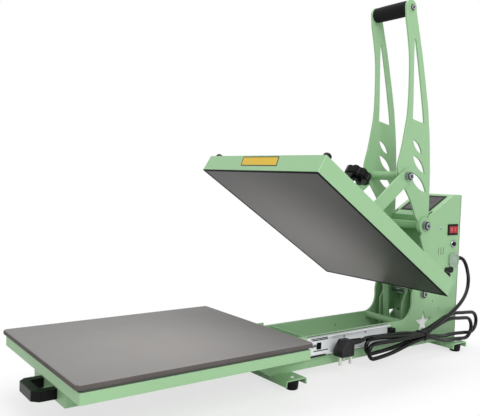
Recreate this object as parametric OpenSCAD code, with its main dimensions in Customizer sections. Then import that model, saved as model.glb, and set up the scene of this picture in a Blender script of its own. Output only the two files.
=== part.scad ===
// Slide-out heat press: a clamshell press whose lower platen pulls out on telescopic slides.
// Lengths are in millimetres. +Z is up, the drawer pulls out towards -Y and +X is the operator's right.
// The origin is on the ground, under the middle of the outline, the loose mains lead left out.
// It is drawn open and pulled out: the drawer fully forward and the upper platen tilted up.

/* [Lower platen] */
// Width of the pad
pad_w = 406; // [340:1:460]
// Length of the pad, front to back
pad_l = 508; // [450:1:560]
// Thickness of the soft pad
pad_t = 11; // [6:0.5:16]
// Corner radius of the pad
pad_corner_r = 9; // [3:1:20]
// Thickness of the bed plate under the pad
bed_t = 3.6; // [2:0.2:6]
// Height of the tray's folded rim
rim_h = 20; // [12:1:24]
// Thickness of folded sheet
sheet_t = 2; // [1.2:0.1:3]
// Reach of the pull handle ahead of the apron
handle_reach = 44; // [34:1:60]
// Width of the pull handle
handle_w = 88; // [70:1:120]
// Height of the pull handle's bar
handle_h = 19; // [14:1:24]

/* [Slides] */
// Distance that the drawer travels
drawer_travel = 420; // [340:1:420]
// Length of each slide member
slide_l = 430; // [425:1:440]
// Height of the slides
slide_h = 46; // [42:1:46]
// Width that a slide takes between the rail and the drawer's hanger
slide_gap = 13; // [12.7:0.1:15]

/* [Base] */
// Length of the side plates
base_l = 732; // [700:1:780]
// Width over the side plates
base_w = 132; // [124:1:150]
// Thickness of the side plates
plate_t = 5; // [4:0.5:6]
// Height of the rail part of the side plates
rail_h = 76; // [70:1:84]
// Height of the control box above the ground
box_top_z = 437; // [425:1:470]
// Length of the outriggers, side to side
outrigger_l = 224; // [200:1:280]
// Width of the outriggers, front to back
outrigger_w = 60; // [50:1:64]
// Height of the rubber feet
foot_h = 23; // [20:1:30]
// Diameter of the rubber feet
foot_d = 32; // [24:1:40]

/* [Upper platen] */
// How far the upper platen is tilted open
open_tilt = 32.7; // [20:0.1:33]
// Gap left between the pad and the closed heat platen
press_gap = 2; // [1:0.5:6]
// Height of the cover's skirt
cover_h = 41; // [36:1:46]
// How far the cover stands out past the pad on each side
cover_side = 7.7; // [4:0.1:15]
// How far the cover stands out past the pad at the front and at the back
cover_end = 14.8; // [8:0.1:20]
// Thickness of the heat platen
heater_t = 16; // [12:1:18]
// Diameter of the pressure knob
knob_d = 70; // [50:1:80]
// Height of the pressure knob
knob_h = 24; // [18:1:30]

/* [Linkage] */
// Height of the platen pivot above the bottom of the side plates
pivot_rise = 140; // [138:1:144]
// Distance of the platen pivot from the rear edge of the side plates
pivot_setback = 155; // [150:1:160]
// Diameter of the main pivot shaft
shaft_d = 20; // [16:1:24]
// Height of the lever pivot above the bottom of the side plates
lever_rise = 326; // [322:1:330]
// Distance of the lever pivot from the rear edge of the side plates
lever_setback = 161; // [158:1:164]
// Diameter of the lever pivot bolt
lever_bolt_d = 16; // [12:1:18]
// Height of the grip above the lever pivot
lever_h = 567; // [500:1:620]
// Thickness of the lever and link plates
lever_t = 5; // [4:0.5:5]
// Diameter of the foam grip
grip_d = 40; // [32:1:44]
// Diameter of the gas spring's cylinder
strut_d = 18; // [16:1:24]

/* [Mains lead] */
// Diameter of the mains lead
cord_d = 10; // [8:0.1:10]
// Turns in the tied hank
hank_turns = 2; // [1:1:2]

/* [Hidden] */

$fn = 64;
// Fineness of small round parts, and of the children of a hull
small_fn = 32;
// Overrun of every cut, running fit of a shaft in its bore, and gap between parts that pass each other
cut = 1;
fit = 0.05;
clear = 0.3;

mint = [0.56, 0.76, 0.58];
mint_dark = [0.47, 0.66, 0.49];
black = [0.07, 0.07, 0.075];
zinc = [0.72, 0.73, 0.74];
chrome = [0.80, 0.81, 0.83];

// Places along the machine
rail_overlap = 48;
apron_inset = 32;
hang_t = 3;
gland_l = 34;
whole_l = base_l + pad_l - rail_overlap - apron_inset + hang_t + handle_reach + gland_l;
rear_y = whole_l / 2 - gland_l;
rail_y = rear_y - base_l;
pad_rear_y = rail_y + rail_overlap;
pad_front_y = pad_rear_y - pad_l;
outrigger_t = 3;
rail_z = foot_h + outrigger_t;
rail_top_z = rail_z + rail_h;
tray_rise = 18.4;
tray_top_z = rail_top_z + tray_rise;
pad_top_z = tray_top_z + bed_t + pad_t;
plate_x = base_w / 2;
inner_x = plate_x - plate_t;
pivot_y = rear_y - pivot_setback;
pivot_z = rail_z + pivot_rise;
lever_y = rear_y - lever_setback;
lever_z = rail_z + lever_rise;
// Places on the side plates are counted from these two points on their rear edge
plate_corner = [rear_y, rail_z];
lever_level = [rear_y, lever_z];

// Tray, hangers and apron
tray_side = 1.5;
tray_inset = 7;
tray_w = pad_w - 2 * tray_side;
tray_y0 = pad_front_y + tray_inset;
tray_y1 = pad_rear_y - tray_inset;
rear_rim_cut = 4;
rear_rim_h = tray_rise - rear_rim_cut;
hang_x = plate_x + slide_gap;
hang_flange = 24;
hang_rise = 27;
hang_z = rail_z + hang_rise;
hang_front_y = pad_front_y + apron_inset;
hang_tail_l = 92;
hang_rear_y = pad_rear_y + hang_tail_l;
hang_tail_gap = 1;
hang_tail_z = tray_top_z - rear_rim_h - hang_tail_gap;
hang_seat_y = tray_y1 - sheet_t - clear;

// Slides: the half heights of the members and of the runners between them
slide_wall = 1.5;
slide_inset = 5;
slide_y0 = rail_y + slide_inset;
slide_z = hang_z + slide_h / 2;
runner_t = 1.6;
mid_h = slide_h - 2 * (slide_wall + runner_t + clear);
core_h = mid_h - 2 * (slide_wall + runner_t + clear);
slide_lip = 3;
outer_gap = 2;
mid_gap = 3;
mid_lip_gap = 4.5;
core_gap = 5.6;
outer_reach = slide_gap - outer_gap;
mid_web_x = plate_x + mid_gap;
mid_reach = outer_reach - mid_lip_gap;
core_reach = slide_gap - core_gap;
mid_y0 = slide_y0 - drawer_travel / 2;
core_y0 = slide_y0 - drawer_travel;
stop_l = 20;
stop_h = 26;
stop_gap = 1;

// Upper platen in the arm's own frame: level, with its origin on the platen pivot
cover_w = pad_w + 2 * cover_side;
cover_l = pad_l + 2 * cover_end;
cover_rear = 94.2;
cover_front = cover_rear + cover_l;
under_z = pad_top_z + press_gap - pivot_z;
heater_proud = 1;
heater_gap = 3;
cover_z0 = under_z + heater_proud;
cover_z1 = cover_z0 + cover_h;
arm_x = 46;
arm_t = 5;
link_ear = [-307, 59];
link_ear_r = 18;
spindle_in = 250;
spindle_y = -(cover_rear + spindle_in);
spindle_d = 16;
knob_rise = 130;
knob_z = cover_z1 + knob_rise;
strut_ear = [-89.1, 42.6];
arm_end_y = -430;

// Linkage: lever and link points as they stand open
lever_lead = 90;
grip_p = [lever_y - lever_lead, lever_z + lever_h];
cross_at = [-82, 132];
cross_p = [lever_y, lever_z] + cross_at;
ear_p = [pivot_y + link_ear[0] * cos(open_tilt) + link_ear[1] * sin(open_tilt),
    pivot_z - link_ear[0] * sin(open_tilt) + link_ear[1] * cos(open_tilt)];
strut_top_p = [pivot_y + strut_ear[0] * cos(open_tilt) + strut_ear[1] * sin(open_tilt),
    pivot_z - strut_ear[0] * sin(open_tilt) + strut_ear[1] * cos(open_tilt)];
strut_foot_at = [-192, 29];
strut_foot_p = plate_corner + strut_foot_at;
strut_x = -24;
link_x = plate_x - lever_t;
link_gap = 1;
lever_x = link_x - link_gap - lever_t;
hub_r = 22;
link_r = 20;
grip_end_r = 20.5;

// Mains lead: the hank's waist, its two round ends and the lanes of its turns
hank_setback = 198;
hank_y = rear_y - hank_setback;
hank_front_l = 214;
hank_rear_l = 247;
hank_stagger = 20;
hank_front_r = 18.5;
hank_rear_r = 29;
hank_lift = 10;
hank_space = 0.7;
hank_pitch = cord_d + hank_space;
waist_half = hank_pitch / 2;
tail_x = 88.5;
hank_x = tail_x + hank_turns * hank_pitch;
hank_waist_z = 64;
hank_front_z = 56.2;
hank_rear_z = rail_z + clear + cord_d / 2 + hank_rear_r + hank_lift / 2;
cord_sides = 8;
hank_sides = 6;
exit_x = 48;
exit_z = 252;

// Shared shapes

// Extrudes a side view, drawn as (y, z), from x to x + t
module side_plate(x, t) {
    translate([x, 0, 0])
        rotate([90, 0, 90])
            linear_extrude(t) children();
}

// Extrudes a cross-section, drawn as (x, z), from y to y + l
module along_y(y, l) {
    translate([0, y + l, 0])
        rotate([90, 0, 0])
            linear_extrude(l) children();
}

// A round bar along X from x to x + l, at a point given as (y, z)
module bar_x(p, r, x, l) {
    translate([x, p[0], p[1]])
        rotate([0, 90, 0])
            cylinder(r = r, h = l);
}

// A hexagon head along X, with its washer face at x, which points outwards where dir is 1
module hex_head_x(p, r, x, t, dir) {
    translate([dir > 0 ? x : x - t, p[0], p[1]])
        rotate([0, 90, 0])
            cylinder(r = r, h = t, $fn = 6);
}

module both_sides() {
    children();
    mirror([1, 0, 0]) children();
}

// Puts a shape from the arm's level frame to its open place
module on_arm() {
    translate([0, pivot_y, pivot_z])
        rotate([-open_tilt, 0, 0]) children();
}

module rounded_rect(w, l, r) {
    hull()
        for (x = [-1, 1])
            for (y = [-1, 1])
                translate([x * (w / 2 - r), y * (l / 2 - r)])
                    circle(r, $fn = small_fn);
}

// The straight sides and both rounds of a bar between two circles, as one outline
function bar_outline(p, pr, q, qr, n = 12) =
    let (d = q - p, len = norm(d), a = atan2(d[1], d[0]), b = acos((pr - qr) / len))
    concat(
        [for (i = [0 : n]) let (c = a + b + i * (360 - 2 * b) / n) p + pr * [cos(c), sin(c)]],
        [for (i = [0 : n]) let (c = a - b + i * 2 * b / n) q + qr * [cos(c), sin(c)]]);

// A smooth curve through hand-set points, with n steps to each stretch
function spline(p, n = 4) =
    [for (i = [0 : len(p) - 2])
        let (a = p[max(i - 1, 0)], b = p[i], c = p[i + 1], d = p[min(i + 2, len(p) - 1)])
        for (k = [0 : (i == len(p) - 2 ? n : n - 1)])
            let (t = k / n)
            0.5 * (2 * b + (c - a) * t + (2 * a - 5 * b + 4 * c - d) * t * t
                + (3 * b - a - 3 * c + d) * t * t * t)];

// A pointed oval between two points, with two equal arcs for its sides
lens_steps = 8;
function lens(p, q, w) =
    let (c = norm(q - p) / 2, s = w / 2, r = (c * c + s * s) / (2 * s), half = asin(c / r),
        along = (q - p) / (2 * c), across = [-along[1], along[0]], mid = (p + q) / 2)
    [for (side = [1, -1])
        for (i = [0 : lens_steps - 1])
            let (a = side * (-half + 2 * half * i / lens_steps))
            mid + r * sin(a) * along + side * (r * cos(a) - (r - s)) * across];

star_points = 5;
star_inner_share = 0.382;
module star(r) {
    polygon([for (i = [0 : 2 * star_points - 1])
        (i % 2 == 0 ? r : r * star_inner_share)
            * [cos(90 + i * 180 / star_points), sin(90 + i * 180 / star_points)]]);
}

// Base

nose_l = 45;
nose_h = 27;
throat_setback = 242;
throat_y = rear_y - throat_setback;
throat_r = 42;
lug_r = 22;
box_setback = 142;
box_y = rear_y - box_setback;
shoulder_rise = 27;
box_shoulder_z = lever_z + shoulder_rise;
box_flat_l = 34;
neck_low_rise = 12;
neck_low_z = pivot_z + neck_low_rise;
neck_high_rise = 114;
neck_high_z = pivot_z + neck_high_rise;
neck_setback = 157;
neck_y = rear_y - neck_setback;
star_at = [-147, 59];
star_p = plate_corner + star_at;
star_r = 36;
side_holes_at = [[-111, 116], [-83, 92]];
side_hole_r = 2.5;
switch_at = [-35, -13.5];
switch_p = lever_level + switch_at;
switch_l = 46;
switch_h = 31;
switch_wall = 3;
breaker_at = [-30, -54];
breaker_p = lever_level + breaker_at;
breaker_r = 8;
cap_at = [-26, 226];
cap_p = plate_corner + cap_at;
cap_l = 42;
cap_h = 38;
grommet_at = [-44, 198];
grommet_p = plate_corner + grommet_at;
grommet_l = 40;
grommet_h = 16;
vent_at = [-84, 253];
vent_p = plate_corner + vent_at;
vent_l = 22;
vent_w = 3.4;
vent_pitch = 11;
vents = 3;

// The neck's front edge, from the throat up to the lever pivot's lug, as shares of both radii
neck_low_shares = [[-0.024, -0.333], [0.048, 0], [0.19, 0.405]];
neck_high_shares = [[-0.364, -0.818], [0, -0.227], [0, 0], [-0.455, 0.909], [-0.818, 1.773]];
function neck_line() = spline(concat(
    [for (s = neck_low_shares) [throat_y + throat_r, neck_low_z] + throat_r * s],
    [for (s = neck_high_shares) [neck_y, neck_high_z] + lug_r * s]));

module side_outline() {
    difference() {
        union() {
            polygon(concat(
                [[rail_y, rail_top_z], [rail_y, rail_z + nose_h], [rail_y + nose_l, rail_z],
                    [rear_y, rail_z], [rear_y, box_top_z], [rear_y - box_flat_l, box_top_z],
                    [box_y, box_shoulder_z], [lever_y, lever_z]],
                [for (i = [len(neck_line()) - 1 : -1 : 0]) neck_line()[i]],
                [for (a = [0 : -10 : -90])
                    [throat_y + throat_r * cos(a), rail_top_z + throat_r + throat_r * sin(a)]]));
            translate([lever_y, lever_z]) circle(lug_r);
        }
        translate([pivot_y, pivot_z]) circle(shaft_d / 2 + fit);
        translate([lever_y, lever_z]) circle(lever_bolt_d / 2 + fit);
        translate(star_p) star(star_r);
        for (p = side_holes_at)
            translate(plate_corner + p) circle(side_hole_r);
    }
}

module side_openings() {
    translate(switch_p)
        square([switch_l - 2 * switch_wall, switch_h - 2 * switch_wall], center = true);
    translate(breaker_p) circle(breaker_r + fit);
    translate(grommet_p)
        rounded_slot(grommet_l - 2 * switch_wall, grommet_h - 2 * switch_wall);
    for (i = [0 : vents - 1])
        translate(vent_p + [(i - (vents - 1) / 2) * vent_pitch, 0])
            rotate(90) rounded_slot(vent_l, vent_w);
}

module rounded_slot(l, h) {
    square([l - h, h], center = true);
    for (s = [-1, 1])
        translate([s * (l - h) / 2, 0]) circle(h / 2, $fn = small_fn);
}

module right_side_plate() {
    color(mint)
        side_plate(inner_x, plate_t)
            difference() {
                side_outline();
                side_openings();
            }
}

module left_side_plate() {
    color(mint)
        side_plate(-plate_x, plate_t) side_outline();
}

cross_plate_in = 146;
cross_plate_y = rail_y + cross_plate_in;
cross_plate_t = 3;
cross_flange = 16;
cross_floor_rise = 4;
cross_floor_z = rail_z + cross_floor_rise;
module front_cross_plate() {
    color(mint)
        side_plate(-inner_x, 2 * inner_x)
            polygon([[cross_plate_y, cross_floor_z],
                [cross_plate_y + cross_flange, cross_floor_z],
                [cross_plate_y + cross_flange, cross_floor_z + cross_plate_t],
                [cross_plate_y + cross_plate_t, cross_floor_z + cross_plate_t],
                [cross_plate_y + cross_plate_t, rail_top_z],
                [cross_plate_y, rail_top_z]]);
}

throat_tube_at = [8, -8.5];
throat_tube_p = [throat_y, rail_top_z] + throat_tube_at;
throat_tube_r = 8;
throat_tube_wall = 2;
module throat_cross_tube() {
    color(mint)
        difference() {
            bar_x(throat_tube_p, throat_tube_r, -inner_x, 2 * inner_x);
            bar_x(throat_tube_p, throat_tube_r - throat_tube_wall, -inner_x - cut, 2 * (inner_x + cut));
        }
}

cheek_x = 36;
cheek_t = 4;
cheek_lead = 53;
cheek_front_y = pivot_y - cheek_lead;
cheek_foot_l = 36;
cheek_foot_y = cheek_front_y + cheek_foot_l;
cheek_arm_drop = 10;
panel_setback = 37;
panel_y = pivot_y + panel_setback;
cheek_r = 24;
strut_pin_r = 5;
module pivot_cheeks() {
    color(mint_dark)
        both_sides()
            side_plate(cheek_x, cheek_t)
                difference() {
                    union() {
                        polygon([[cheek_front_y, rail_z + cheek_t], [cheek_foot_y, rail_z + cheek_t],
                            [cheek_foot_y, pivot_z - 2 * cheek_r],
                            [pivot_y + cheek_r, pivot_z - cheek_arm_drop],
                            [panel_y, pivot_z - cheek_arm_drop], [panel_y, pivot_z + cheek_r],
                            [pivot_y - cheek_r, pivot_z + cheek_r], [cheek_front_y, pivot_z - cheek_r]]);
                        translate([pivot_y, pivot_z]) circle(cheek_r);
                    }
                    translate([pivot_y, pivot_z]) circle(shaft_d / 2 + fit);
                    translate(strut_foot_p) circle(strut_pin_r + fit);
                }
}

lip_gap = 1.3;
lip_side = 0.8;
panel_lip_y = lever_y + lug_r / 2 + lip_gap;
panel_lip_x = lever_x - lip_side;
panel_slope_y = rear_y - box_flat_l;
slope_a = atan2(box_top_z - box_shoulder_z, panel_slope_y - box_y);
panel_slot_at = [-47, 116];
panel_slot_l = 28;
panel_slot_w = 9;
panel_hole_at = [-45, 73];
panel_hole_r = 4.5;
module box_front_panel() {
    color(mint_dark) {
        difference() {
            side_plate(-inner_x, 2 * inner_x)
                polygon([[panel_y, rail_z], [panel_y + sheet_t, rail_z],
                    [panel_y + sheet_t, lever_z - hub_r - sheet_t], [panel_y, lever_z - hub_r - sheet_t]]);
            along_y(panel_y - cut, sheet_t + 2 * cut) {
                translate([panel_slot_at[0], rail_z + panel_slot_at[1]])
                    rotate(90) rounded_slot(panel_slot_l, panel_slot_w);
                translate([panel_hole_at[0], rail_z + panel_hole_at[1]])
                    circle(panel_hole_r, $fn = small_fn);
            }
        }
        side_plate(-panel_lip_x, 2 * panel_lip_x)
            polygon([[panel_y, lever_z - hub_r - sheet_t], [panel_y + sheet_t, lever_z - hub_r - sheet_t],
                [panel_y + sheet_t, lever_z + sheet_t], [panel_lip_y, lever_z + sheet_t],
                [panel_lip_y, lever_z], [panel_y, lever_z]]);
    }
}

lip_h = 22;
module control_panel() {
    color(mint) {
        side_plate(-panel_lip_x, 2 * panel_lip_x)
            polygon([[panel_lip_y, lever_z + sheet_t], [panel_lip_y + sheet_t, lever_z + sheet_t],
                [panel_lip_y + sheet_t, box_shoulder_z - sheet_t],
                [box_y, box_shoulder_z - sheet_t / cos(slope_a)],
                [box_y + hub_r, box_shoulder_z + hub_r * tan(slope_a) - sheet_t / cos(slope_a)],
                [box_y + hub_r, box_shoulder_z + hub_r * tan(slope_a)],
                [box_y, box_shoulder_z],
                [panel_lip_y, box_shoulder_z - sheet_t / 2]]);
        side_plate(-inner_x, 2 * inner_x)
            polygon([[box_y + hub_r, box_shoulder_z + hub_r * tan(slope_a) - sheet_t / cos(slope_a)],
                [panel_slope_y, box_top_z - sheet_t], [rear_y - sheet_t, box_top_z - sheet_t],
                [rear_y - sheet_t, box_top_z], [panel_slope_y, box_top_z],
                [box_y + hub_r, box_shoulder_z + hub_r * tan(slope_a)]]);
    }
}

bezel_w = 100;
bezel_l = 88;
bezel_t = 1.6;
bezel_border = 7;
bezel_up = 22;
module on_slope() {
    translate([0, box_y, box_shoulder_z])
        rotate([slope_a, 0, 0])
            translate([0, bezel_up + bezel_l / 2, 0]) children();
}

module display_bezel() {
    color(black)
        on_slope()
            linear_extrude(bezel_t)
                difference() {
                    square([bezel_w, bezel_l], center = true);
                    square([bezel_w - 2 * bezel_border, bezel_l - 2 * bezel_border], center = true);
                }
}

glass_t = 1.1;
module display_glass() {
    color([0.24, 0.22, 0.22])
        on_slope()
            linear_extrude(glass_t)
                square([bezel_w - 2 * bezel_border - fit, bezel_l - 2 * bezel_border - fit], center = true);
}

gland_hole_r = 8;
module rear_cover() {
    color(mint)
        difference() {
            side_plate(-inner_x, 2 * inner_x)
                polygon([[rear_y - sheet_t, rail_z], [rear_y, rail_z],
                    [rear_y, box_top_z - sheet_t - fit], [rear_y - sheet_t, box_top_z - sheet_t - fit]]);
            translate([exit_x, rear_y + cut, exit_z])
                rotate([90, 0, 0]) cylinder(r = gland_hole_r + fit, h = sheet_t + 2 * cut);
            for (i = [0 : rear_vents - 1])
                translate([0, rear_y - sheet_t / 2, rear_vent_z + i * rear_vent_pitch])
                    cube([rear_vent_l, sheet_t + 2 * cut, rear_vent_h], center = true);
        }
}
rear_vents = 6;
rear_vent_rise = 60;
rear_vent_z = rail_z + rear_vent_rise;
rear_vent_pitch = 12;
rear_vent_l = 70;
rear_vent_h = 4;

board_w = 92;
board_l = 70;
board_t = 1.6;
board_stand = 8;
post_r = 3;
chip = [26, 18, 5];
module controller_board() {
    color([0.10, 0.32, 0.16])
        on_slope()
            translate([0, 0, -sheet_t - board_stand - board_t]) {
                translate([-board_w / 2, -board_l / 2, 0]) cube([board_w, board_l, board_t]);
                for (x = [-1, 1])
                    for (y = [-1, 1])
                        translate([x * (board_w / 2 - 2 * post_r), y * (board_l / 2 - 2 * post_r), board_t])
                            cylinder(r = post_r, h = board_stand, $fn = small_fn);
                translate([-chip[0] / 2, -chip[1] / 2, -chip[2]]) cube(chip);
            }
}

relay_size = [36, 30, 42];
relay_rise = 120;
relay_z = rail_z + relay_rise;
relay_foot_share = 1.5;
module relay() {
    color([0.85, 0.84, 0.80])
        translate([-relay_size[0] / 2, panel_y + sheet_t, relay_z]) {
            cube(relay_size);
            translate([-relay_size[0] / 4, 0, -board_stand])
                cube([relay_foot_share * relay_size[0], board_stand / 2, relay_size[2] + 2 * board_stand]);
        }
}

front_leg_in = 55;
front_leg_y = rail_y + front_leg_in;
rear_leg_in = 70;
rear_leg_y = rear_y - rear_leg_in;
outrigger_flange = 15;
foot_inset = 16;
leg_hole_r = 3.2;
leg_round = 5;
module outrigger(y) {
    color(mint)
        difference() {
            translate([-outrigger_l / 2, y, rail_z - outrigger_flange])
                rotate([90, 0, 90])
                    linear_extrude(outrigger_l)
                        difference() {
                            channel_outline(outrigger_w, outrigger_flange, leg_round);
                            translate([outrigger_t, -cut])
                                channel_outline(outrigger_w - 2 * outrigger_t,
                                    outrigger_flange - outrigger_t + cut, leg_round - outrigger_t);
                        }
            for (s = [-1, 1])
                translate([s * (outrigger_l / 2 - foot_inset), y + outrigger_w / 2,
                    rail_z - outrigger_t - cut])
                    cylinder(r = leg_hole_r, h = outrigger_t + 2 * cut);
        }
}

// A rectangle with its two upper corners rounded
module channel_outline(w, h, r) {
    square([w, h - r]);
    translate([r, 0]) square([w - 2 * r, h]);
    for (x = [r, w - r])
        translate([x, h - r]) circle(r, $fn = small_fn);
}

module front_outrigger() outrigger(front_leg_y);
module rear_outrigger() outrigger(rear_leg_y);

module at_feet() {
    for (x = [-1, 1])
        for (y = [front_leg_y, rear_leg_y])
            translate([x * (outrigger_l / 2 - foot_inset), y + outrigger_w / 2, 0]) children();
}

foot_taper = 2;
foot_edge = 2;
module rubber_feet() {
    color(black)
        at_feet()
            rotate_extrude()
                polygon([[0, 0], [foot_d / 2 - foot_taper - foot_edge, 0],
                    [foot_d / 2 - foot_taper, foot_edge], [foot_d / 2, foot_h], [leg_hole_r, foot_h],
                    [leg_hole_r, foot_h / 2], [0, foot_h / 2]]);
}

foot_head_r = 5;
foot_head_h = 2.4;
module foot_screws() {
    color(zinc)
        at_feet()
            translate([0, 0, foot_h / 2]) {
                cylinder(r = leg_hole_r - fit, h = rail_z - foot_h / 2, $fn = small_fn);
                translate([0, 0, rail_z - foot_h / 2])
                    cylinder(r1 = foot_head_r, r2 = foot_head_r / 2, h = foot_head_h, $fn = small_fn);
            }
}

// Half of a slide member's section, opening towards +X, centred on its height
module channel_section(x, h, reach, wall, lip) {
    translate([x, slide_z - h / 2]) {
        square([wall, h]);
        for (z = [0, h - wall])
            translate([0, z]) square([reach, wall]);
        if (lip > 0) {
            translate([reach - wall, 0]) square([wall, lip]);
            translate([reach - wall, h - lip]) square([wall, lip]);
        }
    }
}

module slide_outer_members() {
    color(zinc)
        both_sides()
            along_y(slide_y0, slide_l)
                channel_section(plate_x, slide_h, outer_reach, slide_wall, slide_lip);
}

module slide_middle_members() {
    color(zinc)
        both_sides()
            along_y(mid_y0, slide_l)
                channel_section(mid_web_x, mid_h, mid_reach, slide_wall, 0);
}

module slide_inner_members() {
    color(zinc)
        both_sides()
            along_y(core_y0, slide_l)
                translate([2 * hang_x, 0])
                    mirror([1, 0])
                        channel_section(hang_x, core_h, core_reach, slide_wall, 0);
}

runner_l = 70;
runner_in = 5;
module ball_retainers() {
    inner_z = mid_h / 2 - slide_wall;
    color([0.16, 0.16, 0.17])
        both_sides() {
            for (z = [mid_h / 2, -mid_h / 2 - runner_t])
                translate([mid_web_x, mid_y0 + slide_l - runner_in - runner_l, slide_z + z])
                    cube([mid_reach, runner_l, runner_t]);
            for (z = [inner_z - runner_t, -inner_z])
                translate([mid_web_x + slide_wall + clear, mid_y0 + runner_in, slide_z + z])
                    cube([mid_reach - slide_wall - clear, runner_l, runner_t]);
        }
}

module slide_stops() {
    color(black)
        both_sides()
            translate([plate_x, slide_y0 + slide_l + clear, slide_z - stop_h / 2])
                cube([slide_gap - stop_gap, stop_l, stop_h]);
}

// Pivots and pins on the base

shaft_head_r = 12;
shaft_head_h = 7;
module main_pivot_shaft() {
    color(chrome)
        at_yz([pivot_y, pivot_z]) {
            bar_x([0, 0], shaft_d / 2, -plate_x, 2 * plate_x);
            both_sides() hex_head_x([0, 0], shaft_head_r, plate_x, shaft_head_h, 1);
        }
}

// Moves children from the X axis to a point given as (y, z)
module at_yz(p) {
    translate([0, p[0], p[1]]) children();
}

washer_r = 13;
washer_t = 2;
bolt_head_r = 11;
bolt_head_h = 8;
module lever_pivot_bolt() {
    color(chrome)
        at_yz([lever_y, lever_z]) {
            bar_x([0, 0], lever_bolt_d / 2, -plate_x, 2 * plate_x);
            both_sides() {
                bar_x([0, 0], washer_r, plate_x, washer_t);
                hex_head_x([0, 0], bolt_head_r, plate_x + washer_t, bolt_head_h, 1);
            }
        }
}

spacer_r = 11;
module lever_spacer_tube() {
    color(mint_dark)
        difference() {
            bar_x([lever_y, lever_z], spacer_r, -lever_x + clear, 2 * (lever_x - clear));
            bar_x([lever_y, lever_z], lever_bolt_d / 2, -lever_x, 2 * lever_x);
        }
}

module strut_foot_pin() {
    color(chrome) {
        bar_x(strut_foot_p, strut_pin_r, -cheek_x - cheek_t, 2 * (cheek_x + cheek_t));
        both_sides() bar_x(strut_foot_p, strut_pin_r + washer_t, cheek_x + cheek_t, washer_t);
    }
}

// Switch, breaker, grommet and cap on the right side plate

switch_deep = 26;
switch_lip = 2;
switch_clear = 0.6;
rocker_l = switch_l - 4 * switch_wall;
rocker_h = switch_h - 4 * switch_wall;
module switch_housing() {
    color(black)
        difference() {
            union() {
                side_plate(plate_x, switch_lip)
                    translate(switch_p) square([switch_l, switch_h], center = true);
                side_plate(plate_x - switch_deep, switch_deep)
                    translate(switch_p)
                        square([switch_l - 2 * switch_wall - fit, switch_h - 2 * switch_wall - fit],
                            center = true);
            }
            side_plate(plate_x - switch_deep / 2, switch_deep)
                translate(switch_p)
                    square([rocker_l + 2 * switch_clear, rocker_h + 2 * switch_clear], center = true);
            rocker_pin(fit, switch_clear + rocker_pin_in);
        }
}

rocker_tip = 5;
rocker_foot = 4;
rocker_edge = 1;
rocker_pin_r = 2;
rocker_pin_in = 1.5;
module rocker_pin(gap, out) {
    translate([plate_x + switch_lip - rocker_foot, switch_p[0], switch_p[1] - rocker_h / 2 - out])
        cylinder(r = rocker_pin_r + gap, h = rocker_h + 2 * out);
}

module power_rocker() {
    top_x = plate_x + switch_lip;
    color([0.80, 0.13, 0.16])
        translate([0, 0, switch_p[1] - rocker_h / 2])
            linear_extrude(rocker_h)
                polygon([[top_x - rocker_foot, switch_p[0] - rocker_l / 2],
                    [top_x + rocker_edge, switch_p[0] - rocker_l / 2 + rocker_edge],
                    [top_x, switch_p[0]],
                    [top_x + rocker_tip - rocker_edge, switch_p[0] + rocker_l / 2 - rocker_edge],
                    [top_x - rocker_foot, switch_p[0] + rocker_l / 2 - rocker_edge],
                    [top_x - rocker_foot - rocker_tip, switch_p[0]]]);
    color([0.80, 0.13, 0.16])
        rocker_pin(0, switch_clear + rocker_pin_in - clear);
}

ring_r = 11;
ring_h = 4;
ring_edge = 1;
button_r = 5.5;
button_l = 10;
button_deep = 14;
module breaker_ring() {
    color(chrome)
        at_yz(breaker_p)
            rotate([0, 90, 0])
                translate([0, 0, plate_x - button_deep])
                    rotate_extrude()
                        polygon([[button_r + fit, button_deep - ring_h],
                            [button_r + fit, button_deep + ring_h],
                            [ring_r - ring_edge, button_deep + ring_h],
                            [ring_r, button_deep + ring_h - ring_edge], [ring_r, button_deep],
                            [breaker_r, button_deep], [breaker_r, 0], [0, 0], [0, ring_h],
                            [breaker_r - ring_h / 2, ring_h],
                            [breaker_r - ring_h / 2, button_deep - ring_h]]);
}

module breaker_button() {
    color(black)
        at_yz(breaker_p)
            rotate([0, 90, 0])
                translate([0, 0, plate_x - ring_h / 2])
                    rotate_extrude()
                        polygon([[0, 0], [button_r, 0], [button_r, button_l - ring_edge],
                            [button_r - ring_edge, button_l], [0, button_l]]);
}

grommet_lip = 2.5;
module side_grommet() {
    color(black) {
        side_plate(plate_x, grommet_lip)
            translate(grommet_p) rounded_slot(grommet_l, grommet_h);
        side_plate(inner_x, plate_t)
            translate(grommet_p)
                rounded_slot(grommet_l - 2 * switch_wall - fit, grommet_h - 2 * switch_wall - fit);
    }
}

cap_t = 6;
cap_edge = 3;
module side_cap() {
    color([0.62, 0.72, 0.62])
        translate([plate_x, cap_p[0], cap_p[1]])
            rotate([90, 0, 90]) {
                linear_extrude(cap_t - cap_edge) rounded_rect(cap_l, cap_h, cap_h / 3);
                translate([0, 0, cap_t - cap_edge])
                    linear_extrude(cap_edge)
                        rounded_rect(cap_l - 2 * cap_edge, cap_h - 2 * cap_edge, cap_h / 3 - cap_edge);
            }
}

// Drawer

module drawer_hangers() {
    seat_z = tray_top_z - sheet_t;
    color(mint)
        both_sides() {
            side_plate(hang_x, hang_t)
                polygon([[hang_front_y, hang_z], [hang_rear_y, hang_z], [hang_rear_y, hang_tail_z],
                    [hang_seat_y, hang_tail_z], [hang_seat_y, seat_z], [hang_front_y, seat_z]]);
            translate([hang_x + hang_t, hang_front_y, seat_z - hang_t])
                cube([hang_flange, hang_seat_y - hang_front_y, hang_t]);
        }
}

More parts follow.
